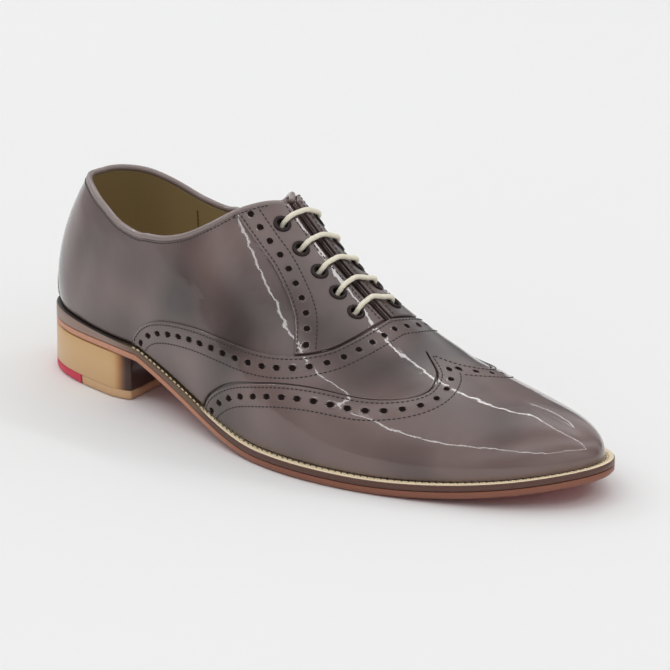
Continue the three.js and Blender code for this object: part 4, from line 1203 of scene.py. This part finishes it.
for _ in range(2):
    centres, lace_up = smoothed(centres), smoothed(lace_up)
run = unit(np.gradient(centres, axis=0))
across = unit(np.cross(lace_up, run))
bore_height = LAYER_OUT + LACE_DEPTH
pressed = np.clip((bore_height - heights) / (bore_height - PRESSED_HEIGHT), 0, 1)
strands = LACE_STRANDS * 2 * np.pi * np.arange(LACE_SIDES) / LACE_SIDES
ribbed = 1 + LACE_RIB * np.cos(np.arange(len(centres))[:, None] * LACE_TWIST - strands)
width = (LACE_WIDTH + (PRESSED_WIDTH - LACE_WIDTH) * pressed) * ribbed
thickness = (LACE_WIDTH + (PRESSED_THICKNESS - LACE_WIDTH) * pressed) * ribbed
points, faces = tube(centres, across, np.cross(run, across), width, thickness, LACE_SIDES)
lace = add_mesh("lace", points, faces, [lace_cord])
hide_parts(*(f"lace_bar_{pair + 1}" for pair in range(EYELET_PAIRS)))

# Studio: a pale floor, a sky in soft bands for the gloss to mirror, four strip lights overhead and
# the camera at the photograph's angle.

FLOOR_HALF = 6            # metres
FLOOR_HEIGHT = -0.0002    # just clear of the soles

floor_mesh = bpy.data.meshes.new("floor")
floor_corners = [(x * FLOOR_HALF, y * FLOOR_HALF, FLOOR_HEIGHT)
                 for x, y in ((-1, -1), (1, -1), (1, 1), (-1, 1))]
floor_mesh.from_pydata(floor_corners, [], [(0, 1, 2, 3)])
floor = bpy.data.objects.new("floor", floor_mesh)
floor_mesh.materials.append(principled("floor", (0.9, 0.9, 0.9), 0.8))
bpy.context.scene.collection.objects.link(floor)

world = bpy.data.worlds.new("studio")
bpy.context.scene.world = world
world.use_nodes = True
world.node_tree.nodes["Background"].inputs["Color"].default_value = (1, 1, 1, 1)
direction = node(world, "ShaderNodeTexCoord").outputs["Generated"]
bands = node(world, "ShaderNodeTexWave", Scale=0.55, Distortion=3, Detail=1, Vector=direction)
level = node(world, "ShaderNodeMapRange", To_Min=0.22, To_Max=1.03, Value=bands.outputs["Fac"])
axes = node(world, "ShaderNodeSeparateXYZ", Vector=direction)
overhead = node(world, "ShaderNodeMapRange", To_Min=0.5, To_Max=1.32, Value=axes.outputs["Z"])
strength = node(world, "ShaderNodeMath", operation="MULTIPLY")
link(world, overhead.outputs["Result"], strength.inputs[0])
link(world, level.outputs["Result"], strength.inputs[1])
link(world, strength.outputs["Value"], world.node_tree.nodes["Background"].inputs["Strength"])

# the photograph's viewpoint, in mm of the last, turned to centre the one shoe
CAMERA_AZIMUTH = math.radians(39.85)
CAMERA_ELEVATION = math.radians(17.71)
CAMERA_ROLL = math.radians(0.96)
CAMERA_DISTANCE = 1668.8
EYE_RIGHT = 47.09
EYE_UP = 33.4
AIM_RIGHT = 4
AIM_UP = 1.8
FOCAL_LENGTH = 211


def set_up(thing, place, back, up):
    """Puts a camera or light at a place in metres, its back to one way and upright along another."""
    bpy.context.scene.collection.objects.link(thing)
    sideways = unit(np.cross(up, back))
    pose = np.eye(4)
    pose[:3, 0], pose[:3, 1], pose[:3, 2], pose[:3, 3] = sideways, np.cross(back, sideways), back, place
    thing.matrix_world = pose.T.tolist()


away = np.array([math.sin(CAMERA_AZIMUTH) * math.cos(CAMERA_ELEVATION),
                 -math.cos(CAMERA_AZIMUTH) * math.cos(CAMERA_ELEVATION), math.sin(CAMERA_ELEVATION)])
right = np.array([math.cos(CAMERA_AZIMUTH), math.sin(CAMERA_AZIMUTH), 0])
rolled_right = right * math.cos(CAMERA_ROLL) + np.cross(away, right) * math.sin(CAMERA_ROLL)
rolled_up = np.cross(away, rolled_right)
middle = np.array([150, 0, 40])
eye = middle + away * CAMERA_DISTANCE + rolled_right * EYE_RIGHT + rolled_up * EYE_UP
aim = middle + rolled_right * AIM_RIGHT + rolled_up * AIM_UP
camera_data = bpy.data.cameras.new("camera")
camera_data.lens = FOCAL_LENGTH
camera_data.clip_end = 20
camera = bpy.data.objects.new("camera", camera_data)
set_up(camera, to_frame(eye), unit(eye - aim), rolled_up)
bpy.context.scene.camera = camera


def strip_light(name, place, width, height, power):
    """A rectangular light that shines down from a place, all but straight."""
    light = bpy.data.lights.new(name, "AREA")
    light.shape = "RECTANGLE"
    light.size, light.size_y, light.energy = width, height, power
    set_up(bpy.data.objects.new(name, light), place, unit(np.array([0, -0.001, place[2]])), [0, 0, 1])


FRAME_HEIGHT = 1.2
STRIP_POWER = 31          # watts per square metre
STRIPS = [(0, 0.8, 2.4, 0.06), (0, -0.8, 2.4, 0.06), (1.2, 0, 0.06, 1.6), (-1.2, 0, 0.06, 1.6)]
for number, (x, y, width, depth) in enumerate(STRIPS):
    strip_light(f"strip {number + 1}", (x, y, FRAME_HEIGHT), width, depth, STRIP_POWER * width * depth)

view = bpy.context.scene.view_settings
view.view_transform = "Standard"
